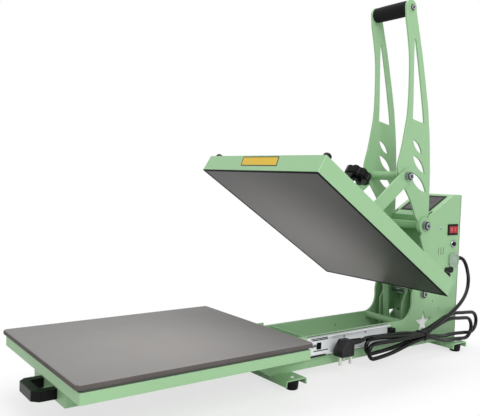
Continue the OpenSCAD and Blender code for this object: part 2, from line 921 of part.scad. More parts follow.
module front_apron() {
    seat_z = tray_top_z - sheet_t;
    color(mint)
        difference() {
            translate([-hang_x - hang_t, hang_front_y - hang_t, hang_z])
                cube([2 * (hang_x + hang_t), hang_t, seat_z - hang_z]);
            for (s = [-1, 1])
                translate([s * (handle_w / 2 - handle_foot / 2), hang_front_y + cut, handle_z])
                    rotate([90, 0, 0]) cylinder(r = leg_hole_r, h = hang_t + 2 * cut);
        }
}

module drawer_tray() {
    color(mint)
        difference() {
            translate([0, (tray_y0 + tray_y1) / 2, tray_top_z - rim_h])
                linear_extrude(rim_h)
                    rounded_square(tray_w, tray_y1 - tray_y0, 2 * sheet_t);
            translate([0, (tray_y0 + tray_y1) / 2, tray_top_z - rim_h - cut])
                linear_extrude(rim_h - sheet_t + cut)
                    rounded_square(tray_w - 2 * sheet_t, tray_y1 - tray_y0 - 2 * sheet_t, sheet_t);
            translate([-hang_x - hang_t - hang_flange, tray_y1 - 2 * sheet_t, tray_top_z - rim_h - cut])
                cube([2 * (hang_x + hang_t + hang_flange), 4 * sheet_t, rim_h - rear_rim_h + cut]);
        }
}

// A rectangle with round corners, made of exact circles and squares
module rounded_square(w, l, r) {
    square([w - 2 * r, l], center = true);
    square([w, l - 2 * r], center = true);
    for (x = [-1, 1])
        for (y = [-1, 1])
            translate([x * (w / 2 - r), y * (l / 2 - r)]) circle(r);
}

bed_inset = 3;
module bed_plate() {
    color([0.30, 0.34, 0.31])
        translate([0, (tray_y0 + tray_y1) / 2, tray_top_z])
            linear_extrude(bed_t)
                rounded_square(tray_w - 2 * bed_inset, tray_y1 - tray_y0 - 2 * bed_inset,
                    pad_corner_r - bed_inset);
}

// The pad's edge swells to its full size at mid height and is drawn in above and below
pad_edge_shares = [[0, 0.30], [0.12, 0.10], [0.35, 0], [0.65, 0], [0.85, 0.12], [0.96, 0.34], [1, 0.62]];
pad_edge = 5;
pad_corner_steps = 6;
function pad_ring(inset, z) = [
    for (q = [0 : 3])
        for (i = [0 : pad_corner_steps])
            let (a = q * 90 + i * 90 / pad_corner_steps, r = pad_corner_r,
                sx = (q == 0 || q == 3) ? 1 : -1, sy = (q < 2) ? 1 : -1)
            [sx * (pad_w / 2 - inset - r) + r * cos(a), sy * (pad_l / 2 - inset - r) + r * sin(a), z]];

module lower_pad() {
    rings = [for (s = pad_edge_shares) pad_ring(s[1] * pad_edge, s[0] * pad_t)];
    n = 4 * (pad_corner_steps + 1);
    m = len(rings);
    color([0.60, 0.60, 0.59])
        translate([0, (pad_front_y + pad_rear_y) / 2, tray_top_z + bed_t])
            polyhedron(points = [for (r = rings) for (p = r) p],
                faces = concat(
                    [[for (i = [0 : n - 1]) i]],
                    [[for (i = [n - 1 : -1 : 0]) (m - 1) * n + i]],
                    [for (k = [0 : m - 2]) for (i = [0 : n - 1])
                        [k * n + i, (k + 1) * n + i, (k + 1) * n + (i + 1) % n, k * n + (i + 1) % n]]));
}

handle_bar = 17;
handle_foot = 17;
handle_rise = 5;
handle_z = hang_z + handle_rise + handle_h / 2;
handle_chamfer = 12;
handle_screw_l = 16;
module drawer_handle() {
    face_y = hang_front_y - hang_t;
    w = handle_w / 2;
    color(black) {
        translate([0, 0, handle_z - handle_h / 2])
            linear_extrude(handle_h)
                difference() {
                    polygon([[-w, face_y], [-w, face_y - handle_reach + handle_chamfer],
                        [-w + handle_chamfer, face_y - handle_reach],
                        [w - handle_chamfer, face_y - handle_reach],
                        [w, face_y - handle_reach + handle_chamfer], [w, face_y]]);
                    polygon([[-w + handle_foot, face_y + cut],
                        [-w + handle_foot, face_y - handle_reach + handle_bar + handle_chamfer / 2],
                        [-w + handle_foot + handle_chamfer / 2, face_y - handle_reach + handle_bar],
                        [w - handle_foot - handle_chamfer / 2, face_y - handle_reach + handle_bar],
                        [w - handle_foot, face_y - handle_reach + handle_bar + handle_chamfer / 2],
                        [w - handle_foot, face_y + cut]]);
                }
        for (s = [-1, 1])
            translate([s * (w - handle_foot / 2), face_y + hang_t + washer_t, handle_z])
                rotate([90, 0, 0]) {
                    cylinder(r = leg_hole_r - fit, h = hang_t + washer_t);
                    cylinder(r = foot_head_r, h = washer_t);
                }
    }
}

// Upper platen, in the arm's level frame

cover_corner = 3;
cover_mid_y = -(cover_rear + cover_l / 2);
cap_inset = 16;
stud_r = 3;
module at_caps() {
    for (x = [-1, 1])
        for (y = [-1, 1])
            translate([x * (cover_w / 2 - cap_inset), cover_mid_y + y * (cover_l / 2 - cap_inset), 0])
                children();
}

module platen_cover() {
    color(mint)
        on_arm()
            difference() {
                translate([0, cover_mid_y, cover_z0])
                    linear_extrude(cover_h) rounded_square(cover_w, cover_l, cover_corner);
                translate([0, cover_mid_y, cover_z0 - cut])
                    linear_extrude(cover_h - sheet_t + cut)
                        rounded_square(cover_w - 2 * sheet_t, cover_l - 2 * sheet_t, cover_corner - sheet_t);
                at_caps()
                    translate([0, 0, cover_z1 - sheet_t - cut])
                        cylinder(r = stud_r + fit, h = sheet_t + 2 * cut);
            }
}

heater_w = cover_w - 2 * (sheet_t + heater_gap);
heater_l = cover_l - 2 * (sheet_t + heater_gap);
module heat_platen() {
    color([0.33, 0.32, 0.33])
        on_arm()
            translate([0, cover_mid_y, under_z])
                linear_extrude(heater_t) rounded_square(heater_w, heater_l, cover_corner);
}

// The element is a flat band that lies on the platen and winds to and fro
element_w = 9;
element_t = 6;
element_runs = 6;
element_pitch = heater_w / (element_runs + 1);
element_l = heater_l - 2 * element_pitch;
module heating_element() {
    color([0.42, 0.40, 0.38])
        on_arm()
            translate([0, cover_mid_y, under_z + heater_t])
                linear_extrude(element_t) {
                    for (i = [0 : element_runs - 1])
                        translate([(i - (element_runs - 1) / 2) * element_pitch, 0])
                            square([element_w, element_l], center = true);
                    for (i = [0 : element_runs - 2])
                        translate([(i - (element_runs - 2) / 2) * element_pitch,
                            (i % 2 == 0 ? 1 : -1) * (element_l - element_w) / 2])
                            square([element_pitch + element_w, element_w], center = true);
                }
}

insulation_t = 6;
module insulation_board() {
    color([0.88, 0.86, 0.80])
        on_arm()
            difference() {
                translate([0, cover_mid_y, under_z + heater_t + element_t])
                    linear_extrude(insulation_t) rounded_square(heater_w, heater_l, cover_corner);
                at_caps()
                    translate([0, 0, under_z]) cylinder(r = stud_r + fit, h = cover_h);
            }
}

cap_knob_r = 9.5;
cap_knob_h = 15;
cap_foot_shares = [0.8, 0.2];
module platen_caps() {
    color(black)
        on_arm()
            at_caps() {
                translate([0, 0, under_z + heater_t])
                    cylinder(r = stud_r, h = cover_z1 - under_z - heater_t);
                translate([0, 0, cover_z1])
                    rotate_extrude()
                        polygon(concat([[0, 0], [cap_knob_r * cap_foot_shares[0], 0],
                            [cap_knob_r, cap_knob_h * cap_foot_shares[1]]],
                            [for (a = [0 : 15 : 90])
                                [cap_knob_r * cos(a), cap_knob_h * (1 + sin(a)) / 2]]));
            }
}

arm_hub_r = 25;
strut_lug = 8;
module arm_outline() {
    lug = strut_pin_r + strut_lug;
    difference() {
        union() {
            circle(arm_hub_r);
            polygon(concat(
                [[0, arm_hub_r], [strut_ear[0] + lug, strut_ear[1] + lug / 2]],
                [[strut_ear[0], strut_ear[1] + lug], [-cover_rear - lug, strut_ear[1] + lug / 2],
                    [link_ear[0] + 3 * link_ear_r, link_ear[1]]],
                [[link_ear[0] - link_ear_r, link_ear[1] + link_ear_r / 2],
                    [spindle_y - link_ear_r, bridge_z + bridge_t], [spindle_y - 2 * link_ear_r, bridge_z],
                    [arm_end_y, cover_z1 + link_ear_r / 2], [arm_end_y, cover_z1]],
                [[-cover_rear, cover_z1], [-arm_hub_r, -arm_hub_r / 2], [0, -arm_hub_r / 2]]));
            translate(link_ear) circle(link_ear_r);
        }
        circle(shaft_d / 2 + fit);
    }
}

module platen_arms() {
    color(mint_dark)
        on_arm() {
            both_sides() side_plate(arm_x, arm_t) arm_outline();
            bar_x(strut_ear, strut_pin_r, -arm_x - arm_t, 2 * (arm_x + arm_t));
            translate([-arm_x, arm_end_y, cover_z1])
                cube([2 * arm_x, arm_end_w, arm_end_w / 2]);
        }
}
arm_end_w = 30;

bridge_rise = 44;
bridge_z = cover_z1 + bridge_rise;
bridge_t = 8;
bridge_w = 40;
nut_r = 15;
nut_h = 13;
module pressure_bridge() {
    color(mint_dark)
        on_arm()
            difference() {
                union() {
                    translate([-arm_x, spindle_y - bridge_w / 2, bridge_z])
                        cube([2 * arm_x, bridge_w, bridge_t]);
                    translate([0, spindle_y, bridge_z + bridge_t]) cylinder(r = nut_r, h = nut_h, $fn = 6);
                }
                translate([0, spindle_y, bridge_z - cut])
                    cylinder(r = spindle_d / 2 + fit, h = bridge_t + nut_h + 2 * cut);
            }
}

module pressure_spindle() {
    color(zinc)
        on_arm()
            translate([0, spindle_y, cover_z1 + clear])
                cylinder(r = spindle_d / 2, h = knob_z + knob_h / 2 - cover_z1 - clear);
}

knob_lobes = 8;
knob_dip = 9;
knob_step = 3;
knob_boss_r = 15;
knob_boss_h = 8;
module knob_outline(inset) {
    difference() {
        circle(knob_d / 2 - inset);
        for (i = [0 : knob_lobes - 1])
            rotate(i * 360 / knob_lobes)
                translate([knob_d / 2 + knob_dip / 2, 0]) circle(knob_dip + inset, $fn = small_fn);
    }
}

module pressure_knob() {
    color(black)
        on_arm()
            translate([0, spindle_y, knob_z])
                difference() {
                    union() {
                        linear_extrude(knob_step) knob_outline(knob_step);
                        translate([0, 0, knob_step])
                            linear_extrude(knob_h - 2 * knob_step) knob_outline(0);
                        translate([0, 0, knob_h - knob_step])
                            linear_extrude(knob_step) knob_outline(knob_step);
                        translate([0, 0, -knob_boss_h]) cylinder(r = knob_boss_r, h = knob_boss_h);
                    }
                    translate([0, 0, -knob_boss_h - cut])
                        cylinder(r = spindle_d / 2, h = knob_h / 2 + knob_boss_h + cut);
                }
}

// Lever and links

// Front and rear edges of a lever plate as shares of the lever's height, each (forward, up)
lever_front_shares = [[-0.060, 0.045], [-0.095, 0.113], [-0.128, 0.156], [-0.163, 0.200],
    [-0.203, 0.266], [-0.178, 0.367], [-0.162, 0.444], [-0.149, 0.515], [-0.145, 0.591], [-0.146, 0.672],
    [-0.152, 0.778], [-0.168, 0.864], [-0.188, 0.942]];
lever_rear_shares = [[-0.112, 0.955], [-0.097, 0.907], [-0.071, 0.822], [-0.042, 0.714], [-0.007, 0.571],
    [0.005, 0.503], [0.018, 0.420], [0.032, 0.272], [0.037, 0.143], [0.0385, 0.060]];
slit_shares = [[-0.126, 0.868], [-0.1245, 0.790], [-0.119, 0.684], [-0.1145, 0.578], [-0.113, 0.499],
    [-0.026, 0.483], [-0.037, 0.543], [-0.060, 0.645], [-0.086, 0.752], [-0.114, 0.860]];
lens_shares = [[[-0.104, 0.406], [-0.034, 0.340], 0.030], [[-0.099, 0.333], [-0.005, 0.250], 0.038],
    [[-0.112, 0.252], [0.010, 0.160], 0.045]];

function lever_point(s) = [lever_y, lever_z] + lever_h * s;

module lever_outline() {
    difference() {
        polygon(concat(
            spline([for (s = lever_front_shares) lever_point(s)]),
            [for (a = [185 : -15 : -10]) grip_p + grip_end_r * [cos(a), sin(a)]],
            spline([for (s = lever_rear_shares) lever_point(s)]),
            [for (a = [5 : -15 : -205]) [lever_y, lever_z] + hub_r * [cos(a), sin(a)]]));
        polygon([for (s = slit_shares) lever_point(s)]);
        for (s = lens_shares)
            polygon(lens(lever_point(s[0]), lever_point(s[1]), s[2] * lever_h));
        translate([lever_y, lever_z]) circle(lever_bolt_d / 2 + fit);
        translate(cross_p) circle(cross_bolt_r);
        translate(grip_p) circle(grip_bolt_r);
    }
}

module lever_plates() {
    color(mint)
        both_sides() side_plate(lever_x, lever_t) lever_outline();
}

cross_bolt_r = 6;
cross_washer_r = 12;
cross_head_r = 10;
cross_tube_r = 12;
module lever_cross_tube() {
    color(mint)
        difference() {
            bar_x(cross_p, cross_tube_r, -lever_x, 2 * lever_x);
            bar_x(cross_p, cross_bolt_r, -lever_x - cut, 2 * (lever_x + cut));
        }
}

// The long bolt through the cross tube carries the links, with a washer and a nut at each end
module link_bolts() {
    color(chrome) {
        bar_x(cross_p, cross_bolt_r, -plate_x - clear, 2 * (plate_x + clear));
        both_sides() {
            bar_x(cross_p, cross_washer_r, plate_x + clear, washer_t);
            hex_head_x(cross_p, cross_head_r, plate_x + clear + washer_t, bolt_head_h, 1);
        }
    }
}

foam_edge = 4;
grip_tube_r = 11;
grip_bolt_r = 4;
grip_head_r = 7;
grip_head_h = 4;
module foam_grip() {
    l = 2 * lever_x;
    r = grip_d / 2;
    color(black)
        translate([-lever_x, grip_p[0], grip_p[1]])
            rotate([0, 90, 0])
                rotate_extrude()
                    polygon(concat([[grip_tube_r, 0]],
                        [for (a = [-90 : 15 : 0])
                            [r - foam_edge, foam_edge] + foam_edge * [cos(a), sin(a)]],
                        [for (a = [0 : 15 : 90])
                            [r - foam_edge, l - foam_edge] + foam_edge * [cos(a), sin(a)]],
                        [[grip_tube_r, l]]));
}

module grip_tube() {
    color(zinc) {
        bar_x(grip_p, grip_tube_r, -lever_x, 2 * lever_x);
        bar_x(grip_p, grip_bolt_r, -lever_x - lever_t, 2 * (lever_x + lever_t));
        both_sides() hex_head_x(grip_p, grip_head_r, lever_x + lever_t, grip_head_h, 1);
    }
}

ear_bolt_r = 8;
module lower_links() {
    color(mint)
        both_sides()
            side_plate(link_x, lever_t)
                difference() {
                    polygon(bar_outline(cross_p, link_r, ear_p, link_ear_r));
                    translate(cross_p) circle(cross_bolt_r + fit);
                }
    color(chrome)
        both_sides() {
            bar_x(ear_p, ear_bolt_r, arm_x + arm_t + clear, link_x - arm_x - arm_t - clear);
            hex_head_x(ear_p, bolt_head_r, plate_x, bolt_head_h, 1);
        }
}

// Gas spring: an eye and a cylinder on the foot pin, and a rod with an open eye round the arm's pin
strut_eye_r = 9;
strut_eye_w = 14;
strut_neck_r = 7;
strut_neck_in = 2;
strut_body_start = 12;
strut_body_l = 118;
rod_r = 4;
rod_eye_r = 12;
rod_eye_bore = 7.5;
rod_in = 40;
strut_a = atan2(strut_top_p[1] - strut_foot_p[1], strut_top_p[0] - strut_foot_p[0]);
strut_len = norm(strut_top_p - strut_foot_p);
module along_strut(d) {
    translate([strut_x, strut_foot_p[0], strut_foot_p[1]])
        rotate([strut_a - 90, 0, 0])
            translate([0, 0, d]) children();
}

module strut_cylinder() {
    color(mint_dark)
        difference() {
            union() {
                along_strut(strut_body_start) cylinder(r = strut_d / 2, h = strut_body_l);
                along_strut(0) cylinder(r = strut_neck_r, h = strut_body_start + strut_neck_in);
                bar_x(strut_foot_p, strut_eye_r, strut_x - strut_eye_w / 2, strut_eye_w);
            }
            bar_x(strut_foot_p, strut_pin_r + fit, strut_x - strut_eye_w, 2 * strut_eye_w);
            along_strut(strut_body_start + strut_body_l - rod_in - rod_in)
                cylinder(r = rod_r + fit, h = 2 * rod_in + cut);
        }
}

module strut_rod() {
    color(chrome)
        difference() {
            union() {
                along_strut(strut_body_start + strut_body_l - rod_in)
                    cylinder(r = rod_r,
                        h = strut_len - rod_eye_bore - strut_body_start - strut_body_l + rod_in);
                bar_x(strut_top_p, rod_eye_r, strut_x - strut_eye_w / 2, strut_eye_w);
            }
            bar_x(strut_top_p, rod_eye_bore, strut_x - strut_eye_w, 2 * strut_eye_w);
        }
}

// Mains lead

gland_r1 = 9;
gland_wall = 0.8;
gland_r2 = cord_d / 2 + gland_wall;
gland_flange_r = 12;
gland_flange_t = 3;
module cord_gland() {
    color(black)
        translate([exit_x, rear_y - sheet_t, exit_z])
            rotate([-90, 0, 0])
                rotate_extrude()
                    polygon([[0, 0], [gland_hole_r, 0], [gland_hole_r, sheet_t], [gland_flange_r, sheet_t],
                        [gland_flange_r, sheet_t + gland_flange_t], [gland_r1, sheet_t + gland_flange_t],
                        [gland_r2, sheet_t + gland_l], [0, sheet_t + gland_l]]);
}

// Round numbers along the lead, from the gland to the hank's waist, with y counted from the rear cover
lead_route = [[48, 34, 252], [48, 36, 252], [48, 38, 252], [49.5, 43, 249.5], [53, 48.5, 243],
    [58, 52, 230], [64, 52, 212],
    [70.5, 47.5, 194], [78.5, 34, 171], [88, 9.5, 152], [98, -23, 137], [104, -54, 124],
    [108, -91, 109.5], [109.9, -128.5, 97], [109.9, -162, 84], [109.9, -178, 75.5],
    [109.9, -188, 70.6], [109.9, -194, 69.7], [109.9, -198, 69.4]];
// Round numbers along the tail, from the hank's waist to the plug
tail_route = [[88.5, -198, 69.4], [88.5, -204, 69.1], [88.5, -212, 69.4],
    [88.5, -254, 74.5], [88.5, -313, 77.5],
    [88.5, -365, 79.5], [88.5, -392, 80.3], [89.5, -402, 80.6], [92.5, -411, 80.8], [96, -418, 81],
    [98.2, -425, 81], [98.5, -432, 81]];

function unit(v) = v / norm(v);
function ring_at(c, t, r, n) =
    let (side = unit(cross(t, [0.02, 0.03, 1])), up = cross(side, t))
    [for (k = [0 : n - 1]) c + r * (cos(k * 360 / n) * side + sin(k * 360 / n) * up)];
function tangents(p) = [for (i = [0 : len(p) - 1])
    unit(p[min(i + 1, len(p) - 1)] - p[max(i - 1, 0)])];

module tube(p, r, n) {
    t = tangents(p);
    pts = [for (i = [0 : len(p) - 1]) for (q = ring_at(p[i], t[i], r, n)) q];
    last = len(p) - 1;
    polyhedron(points = pts,
        faces = concat(
            [for (i = [0 : last - 1]) for (k = [0 : n - 1])
                [i * n + k, i * n + (k + 1) % n, (i + 1) * n + (k + 1) % n]],
            [for (i = [0 : last - 1]) for (k = [0 : n - 1])
                [i * n + k, (i + 1) * n + (k + 1) % n, (i + 1) * n + k]],
            [for (k = [1 : n - 2]) [0, k + 1, k]],
            [for (k = [1 : n - 2]) [last * n, last * n + k, last * n + k + 1]]));
}

module cord_lead() {
    color(black)
        translate([0, rear_y, 0]) tube(spline(lead_route, 2), cord_d / 2, cord_sides);
}

// One turn runs forward along the top, round the front end, back along the bottom and round the rear.
// Between the ends its strands draw in to the waist. Turn n lies one lane further in and a little higher.
front_half = hank_front_l - hank_front_r;
front_end_l = PI * hank_front_r;
rear_end_l = PI * hank_rear_r;
function rear_half(n) = hank_rear_l + (2 * n - 1) * hank_stagger - hank_rear_r;
function ramp(s) = (1 - cos(180 * min(max(s, 0), 1))) / 2;
rear_spread_share = 0.65;
function opened(y, n) = y < 0 ? ramp(-y / front_half) : ramp(y / rear_half(n) / rear_spread_share);
function strand_rise(y, n) =
    waist_half + ((y < 0 ? hank_front_r : hank_rear_r) - waist_half) * opened(y, n);
// The hank's middle line, by the share of the way to either end
front_droop_shares = [0.35, 0.6];
front_sag_shares = [0.5, 0.9];
rear_hump_shares = [0.38, 0.64];
rear_hump = 7;
rear_hump_low_share = 0.43;
function hank_mid_z(y, n) = lookup(y < 0 ? y / front_half : y / rear_half(n), [
    [-1, hank_front_z],
    [-front_droop_shares[1], hank_waist_z - front_sag_shares[1] * (hank_waist_z - hank_front_z)],
    [-front_droop_shares[0], hank_waist_z - front_sag_shares[0] * (hank_waist_z - hank_front_z)],
    [0, hank_waist_z],
    [rear_hump_shares[0], hank_waist_z + rear_hump_low_share * rear_hump],
    [rear_hump_shares[1], hank_waist_z + rear_hump],
    [1, hank_rear_z]]);
// A turn changes lane on its lower run, just behind the waist
climb_y = 60;
climb_l = 90;
function hank_point(n, d) =
    let (r = rear_half(n), bend = front_half + front_end_l, back = bend + front_half + r,
        home = back + rear_end_l,
        yz = d < front_half ? [-d, strand_rise(-d, n)]
            : d < bend ? let (a = (d - front_half) / hank_front_r * 180 / PI)
                [-front_half - hank_front_r * sin(a), hank_front_r * cos(a)]
            : d < back ? let (y = d - bend - front_half) [y, -strand_rise(y, n)]
            : d < home ? let (a = (d - back) / hank_rear_r * 180 / PI)
                [r + hank_rear_r * sin(a), -hank_rear_r * cos(a)]
            : let (y = home + r - d) [y, strand_rise(y, n)],
        c = d < bend ? 0 : d < back ? ramp((yz[0] - climb_y) / climb_l) : 1)
    [hank_x - hank_pitch * (n + c), hank_y + yz[0],
        hank_mid_z(yz[0], n) + hank_lift * (n - 1 / 2) * opened(yz[0], n) + yz[1]];
// Rings stand closer round the ends than along the runs
end_rings = 6;
run_rings = 7;
top_rings = 4;
function turn_stops(n) =
    let (r = rear_half(n), bend = front_half + front_end_l, run = front_half + r)
    concat(
        [for (i = [0 : top_rings - 1]) i * front_half / top_rings],
        [for (i = [0 : end_rings - 1]) front_half + i * front_end_l / end_rings],
        [for (i = [0 : run_rings]) bend + i * run / (run_rings + 1)],
        [for (i = [0 : end_rings - 1]) bend + run + i * rear_end_l / end_rings],
        [for (i = [0 : top_rings - 1]) bend + run + rear_end_l + i * r / top_rings]);
function turn_length(n) = 2 * (front_half + rear_half(n)) + front_end_l + rear_end_l;
// Both ends of the hank run straight for one diameter
hank_route = concat(
    [hank_point(0, 0), hank_point(0, cord_d)],
    [for (n = [0 : hank_turns - 1]) for (d = turn_stops(n)) if (n + d > 0) hank_point(n, d)],
    [hank_point(hank_turns - 1, turn_length(hank_turns - 1) - cord_d), hank_point(hank_turns, 0)]);

function segment_gap(a, b, c, d) =
    min([for (s = [0, 0.25, 0.5, 0.75, 1]) for (t = [0, 0.25, 0.5, 0.75, 1])
        norm(a + s * (b - a) - c - t * (d - c))]);
hank_gap = min([for (i = [0 : len(hank_route) - 5]) for (j = [i + 3 : len(hank_route) - 2])
    segment_gap(hank_route[i], hank_route[i + 1], hank_route[j], hank_route[j + 1])]) - cord_d;
echo(hank_gap = hank_gap);
function path_length(p) = len(p) < 2 ? 0 : path_sum(p, 0, 0);
function path_sum(p, i, total) = i >= len(p) - 1 ? total : path_sum(p, i + 1, total + norm(p[i + 1] - p[i]));
echo(lead_l = path_length(spline(lead_route, 4)), hank_l = path_length(hank_route),
    tail_l = path_length(spline(tail_route, 4)));

module cord_hank() {
    color(black) tube(hank_route, cord_d / 2, hank_sides);
}

module cord_tail() {
    color(black)
        translate([0, rear_y, 0]) tube(spline(tail_route, 2), cord_d / 2, cord_sides);
}

tie_l = 5;
tie_t = 0.6;
tie_gap = 0.5;
tie_slack = 0.8;
module cord_tie() {
    w = hank_turns * hank_pitch + cord_d + 2 * tie_gap;
    h = 2 * waist_half + cord_d + 2 * tie_slack;
    color([0.05, 0.05, 0.05])
        translate([hank_x - hank_turns * hank_pitch / 2, hank_y + tie_l / 2, hank_waist_z])
            rotate([90, 0, 0])
                linear_extrude(tie_l)
                    difference() {
                        rounded_square(w + 2 * tie_t, h + 2 * tie_t, cord_d / 2);
                        rounded_square(w, h, cord_d / 2 - tie_t);
                    }
}

// Moulded right-angle plug: the lead comes in from the back, near its top, and the flat pins point down
plug_at = [98.5, -432, 81];
plug_neck_l = 35;
plug_neck_wall = 1.6;
plug_neck_r = 8.5;
plug_body = [30, 42, 38];
plug_top = 9;
plug_shares = [[-0.5, 0], [0.5, 0], [0.5, 0.94], [0.44, 1], [-0.12, 1], [-0.5, 0.36]];
pin_earth = [4, 8, 22];
pin_live = [6.4, 4, 18];
pin_spread = 11;
pin_back = 11;
module mains_plug() {
    body_z = plug_at[2] + plug_top - plug_body[2];
    body_y = rear_y + plug_at[1] - plug_neck_l - plug_body[1] / 2;
    color(black) {
        translate([plug_at[0], rear_y + plug_at[1], plug_at[2]])
            rotate([90, 0, 0])
                cylinder(r1 = cord_d / 2 + plug_neck_wall, r2 = plug_neck_r,
                    h = plug_neck_l + plug_body[1] / 2);
        translate([plug_at[0] - plug_body[0] / 2, body_y, body_z])
            rotate([90, 0, 90])
                linear_extrude(plug_body[0])
                    polygon([for (p = plug_shares) [p[0] * plug_body[1], p[1] * plug_body[2]]]);
    }
    color(chrome) {
        translate([plug_at[0] - pin_earth[0] / 2, body_y - pin_back - pin_earth[1] / 2,
            body_z - pin_earth[2]])
            cube(pin_earth);
        for (s = [-1, 1])
            translate([plug_at[0] + s * pin_spread - pin_live[0] / 2, body_y + pin_back - pin_live[1] / 2,
                body_z - pin_live[2]])
                cube(pin_live);
    }
}

right_side_plate();
left_side_plate();
front_cross_plate();
throat_cross_tube();
pivot_cheeks();
box_front_panel();
control_panel();
display_bezel();
display_glass();
rear_cover();
controller_board();
relay();
front_outrigger();
rear_outrigger();
rubber_feet();
foot_screws();
slide_outer_members();
slide_stops();
main_pivot_shaft();
lever_pivot_bolt();
lever_spacer_tube();
strut_foot_pin();
switch_housing();
power_rocker();
breaker_ring();
breaker_button();
side_grommet();
side_cap();
slide_middle_members();
ball_retainers();
slide_inner_members();
drawer_hangers();
front_apron();
drawer_tray();
bed_plate();
lower_pad();
drawer_handle();
platen_cover();
heat_platen();
heating_element();
insulation_board();
platen_caps();
platen_arms();
pressure_bridge();
pressure_knob();
pressure_spindle();
lever_plates();
lever_cross_tube();
link_bolts();
foam_grip();
grip_tube();
lower_links();
strut_cylinder();
strut_rod();
cord_gland();
cord_lead();
cord_hank();
cord_tail();
cord_tie();
mains_plug();
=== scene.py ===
# %% [markdown]
# # A slide-out heat press, dressed in Blender
# The metal parts come from the CAD model and keep their shapes. This file gives each of them a
# finish, and makes the soft, thin and small pieces that a photograph of the real press shows:
# the padded table, the foam grip, the mains lead, trims, screws, the ends of the slides, and dark
# strips of painted shade along the seams.

# %% Load the frame
import math

import bmesh
import bpy
from mathutils import Matrix, Vector


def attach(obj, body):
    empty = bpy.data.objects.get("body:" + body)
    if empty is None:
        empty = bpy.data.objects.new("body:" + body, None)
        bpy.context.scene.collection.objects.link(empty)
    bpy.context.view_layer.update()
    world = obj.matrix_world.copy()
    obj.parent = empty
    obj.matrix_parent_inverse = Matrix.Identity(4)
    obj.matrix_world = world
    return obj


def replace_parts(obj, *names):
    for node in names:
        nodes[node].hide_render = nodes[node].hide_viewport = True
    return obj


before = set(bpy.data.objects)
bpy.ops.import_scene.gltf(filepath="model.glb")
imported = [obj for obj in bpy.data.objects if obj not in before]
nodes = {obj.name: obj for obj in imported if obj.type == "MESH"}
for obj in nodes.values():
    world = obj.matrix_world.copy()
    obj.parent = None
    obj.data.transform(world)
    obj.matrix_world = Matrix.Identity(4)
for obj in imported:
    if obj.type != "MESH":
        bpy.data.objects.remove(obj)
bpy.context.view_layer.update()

MM = 0.001

# %% [markdown]
# ## The camera
# A photograph fixes a camera once three things are known: where it stood, which way it looked and
# how long its lens was. Straight edges of the machine whose real lengths are known gave all three.
# The camera is turned by yaw, then pitch, and last by roll, which tips the picture sideways.

# %% Camera
camera_place = Vector((1.1109, -0.9695, 0.4705))
camera_yaw, camera_pitch, camera_roll = (math.radians(a) for a in (53.57, 2.99, 1.93))
lens_mm = 46.33


def camera_axes(yaw, pitch, roll):
    ahead = Vector((-math.sin(yaw) * math.cos(pitch), math.cos(yaw) * math.cos(pitch), -math.sin(pitch)))
    level = Vector((math.cos(yaw), math.sin(yaw), 0))
    up = level.cross(ahead)
    right = math.cos(roll) * level + math.sin(roll) * up
    return right, -math.sin(roll) * level + math.cos(roll) * up, ahead


right, up, ahead = camera_axes(camera_yaw, camera_pitch, camera_roll)
camera_data = bpy.data.cameras.new("photo_camera")
camera_data.sensor_width = 36
camera_data.lens = lens_mm
camera_data.clip_end = 50
camera = bpy.data.objects.new("photo_camera", camera_data)
camera.matrix_world = Matrix((
    (right.x, up.x, -ahead.x, camera_place.x),
    (right.y, up.y, -ahead.y, camera_place.y),
    (right.z, up.z, -ahead.z, camera_place.z),
    (0, 0, 0, 1)))
bpy.context.scene.collection.objects.link(camera)
bpy.context.scene.camera = camera
print("camera looks along", [round(v, 3) for v in ahead])

# %% [markdown]
# ## The mains lead
# The photograph shows the lead from its gland to its plug, most of it folded into a tied hank. A
# flexible lead bends smoothly, so one curve is drawn through the same points as the CAD lead. The
# hank is worked out by formula: two long turns that are pinched where the tie holds them, each in a
# lane of its own. Lengths are in millimetres here, with y counted from the rear cover.

# %% Lead and tail
rear_y = 586.5
cord_r = 5
lead_points = [(48, 34, 252), (48, 38, 252), (49.5, 43, 249.5), (53, 48.5, 243), (58, 52, 230),
    (64, 52, 212), (70.5, 47.5, 194), (78.5, 34, 171), (88, 9.5, 152), (98, -23, 137), (104, -54, 124),
    (108, -91, 109.5), (109.9, -128.5, 97), (109.9, -162, 84), (109.9, -178, 75.5), (109.9, -188, 70.6)]
tail_points = [(88.5, -198, 69.4), (88.5, -212, 69.4), (88.5, -254, 74.5), (88.5, -313, 77.5),
    (88.5, -365, 79.5), (88.5, -392, 80.3), (89.5, -402, 80.6), (92.5, -411, 80.8), (96, -418, 81),
    (98.2, -425, 81), (98.5, -432, 81)]

# %% The hank's sizes
tie_y, tie_z = -198, 64
front_r, rear_r = 18.5, 29
front_reach, rear_reach, rear_step = 214, 247, 20
front_half = front_reach - front_r
strand_gap, tail_x = 0.7, tail_points[0][0]
hank_lift, lane_pitch, hank_turns = 10, 2 * cord_r + strand_gap, 2
first_lane = tail_x + hank_turns * lane_pitch
waist_half = lane_pitch / 2
outrigger_top, seat_gap = 26, 0.3
rear_z = outrigger_top + seat_gap + cord_r + rear_r + hank_lift / 2
front_dip, rear_rise, rear_open_by = 7.8, 7, 0.65
middle_front = ((-1, tie_z - front_dip), (-0.6, tie_z - 0.9 * front_dip),
    (-0.35, tie_z - 0.5 * front_dip), (0, tie_z))
middle_rear = ((0, tie_z), (0.38, tie_z + 0.43 * rear_rise), (0.64, tie_z + rear_rise), (1, rear_z))
climb_start, climb_l = 60, 90
front_end_l, rear_end_l = math.pi * front_r, math.pi * rear_r


# %% The hank's turns
def ramp(share):
    """A smooth step from 0 to 1."""
    return (1 - math.cos(math.pi * min(max(share, 0), 1))) / 2


def rear_half(n):
    return rear_reach + (2 * n - 1) * rear_step - rear_r


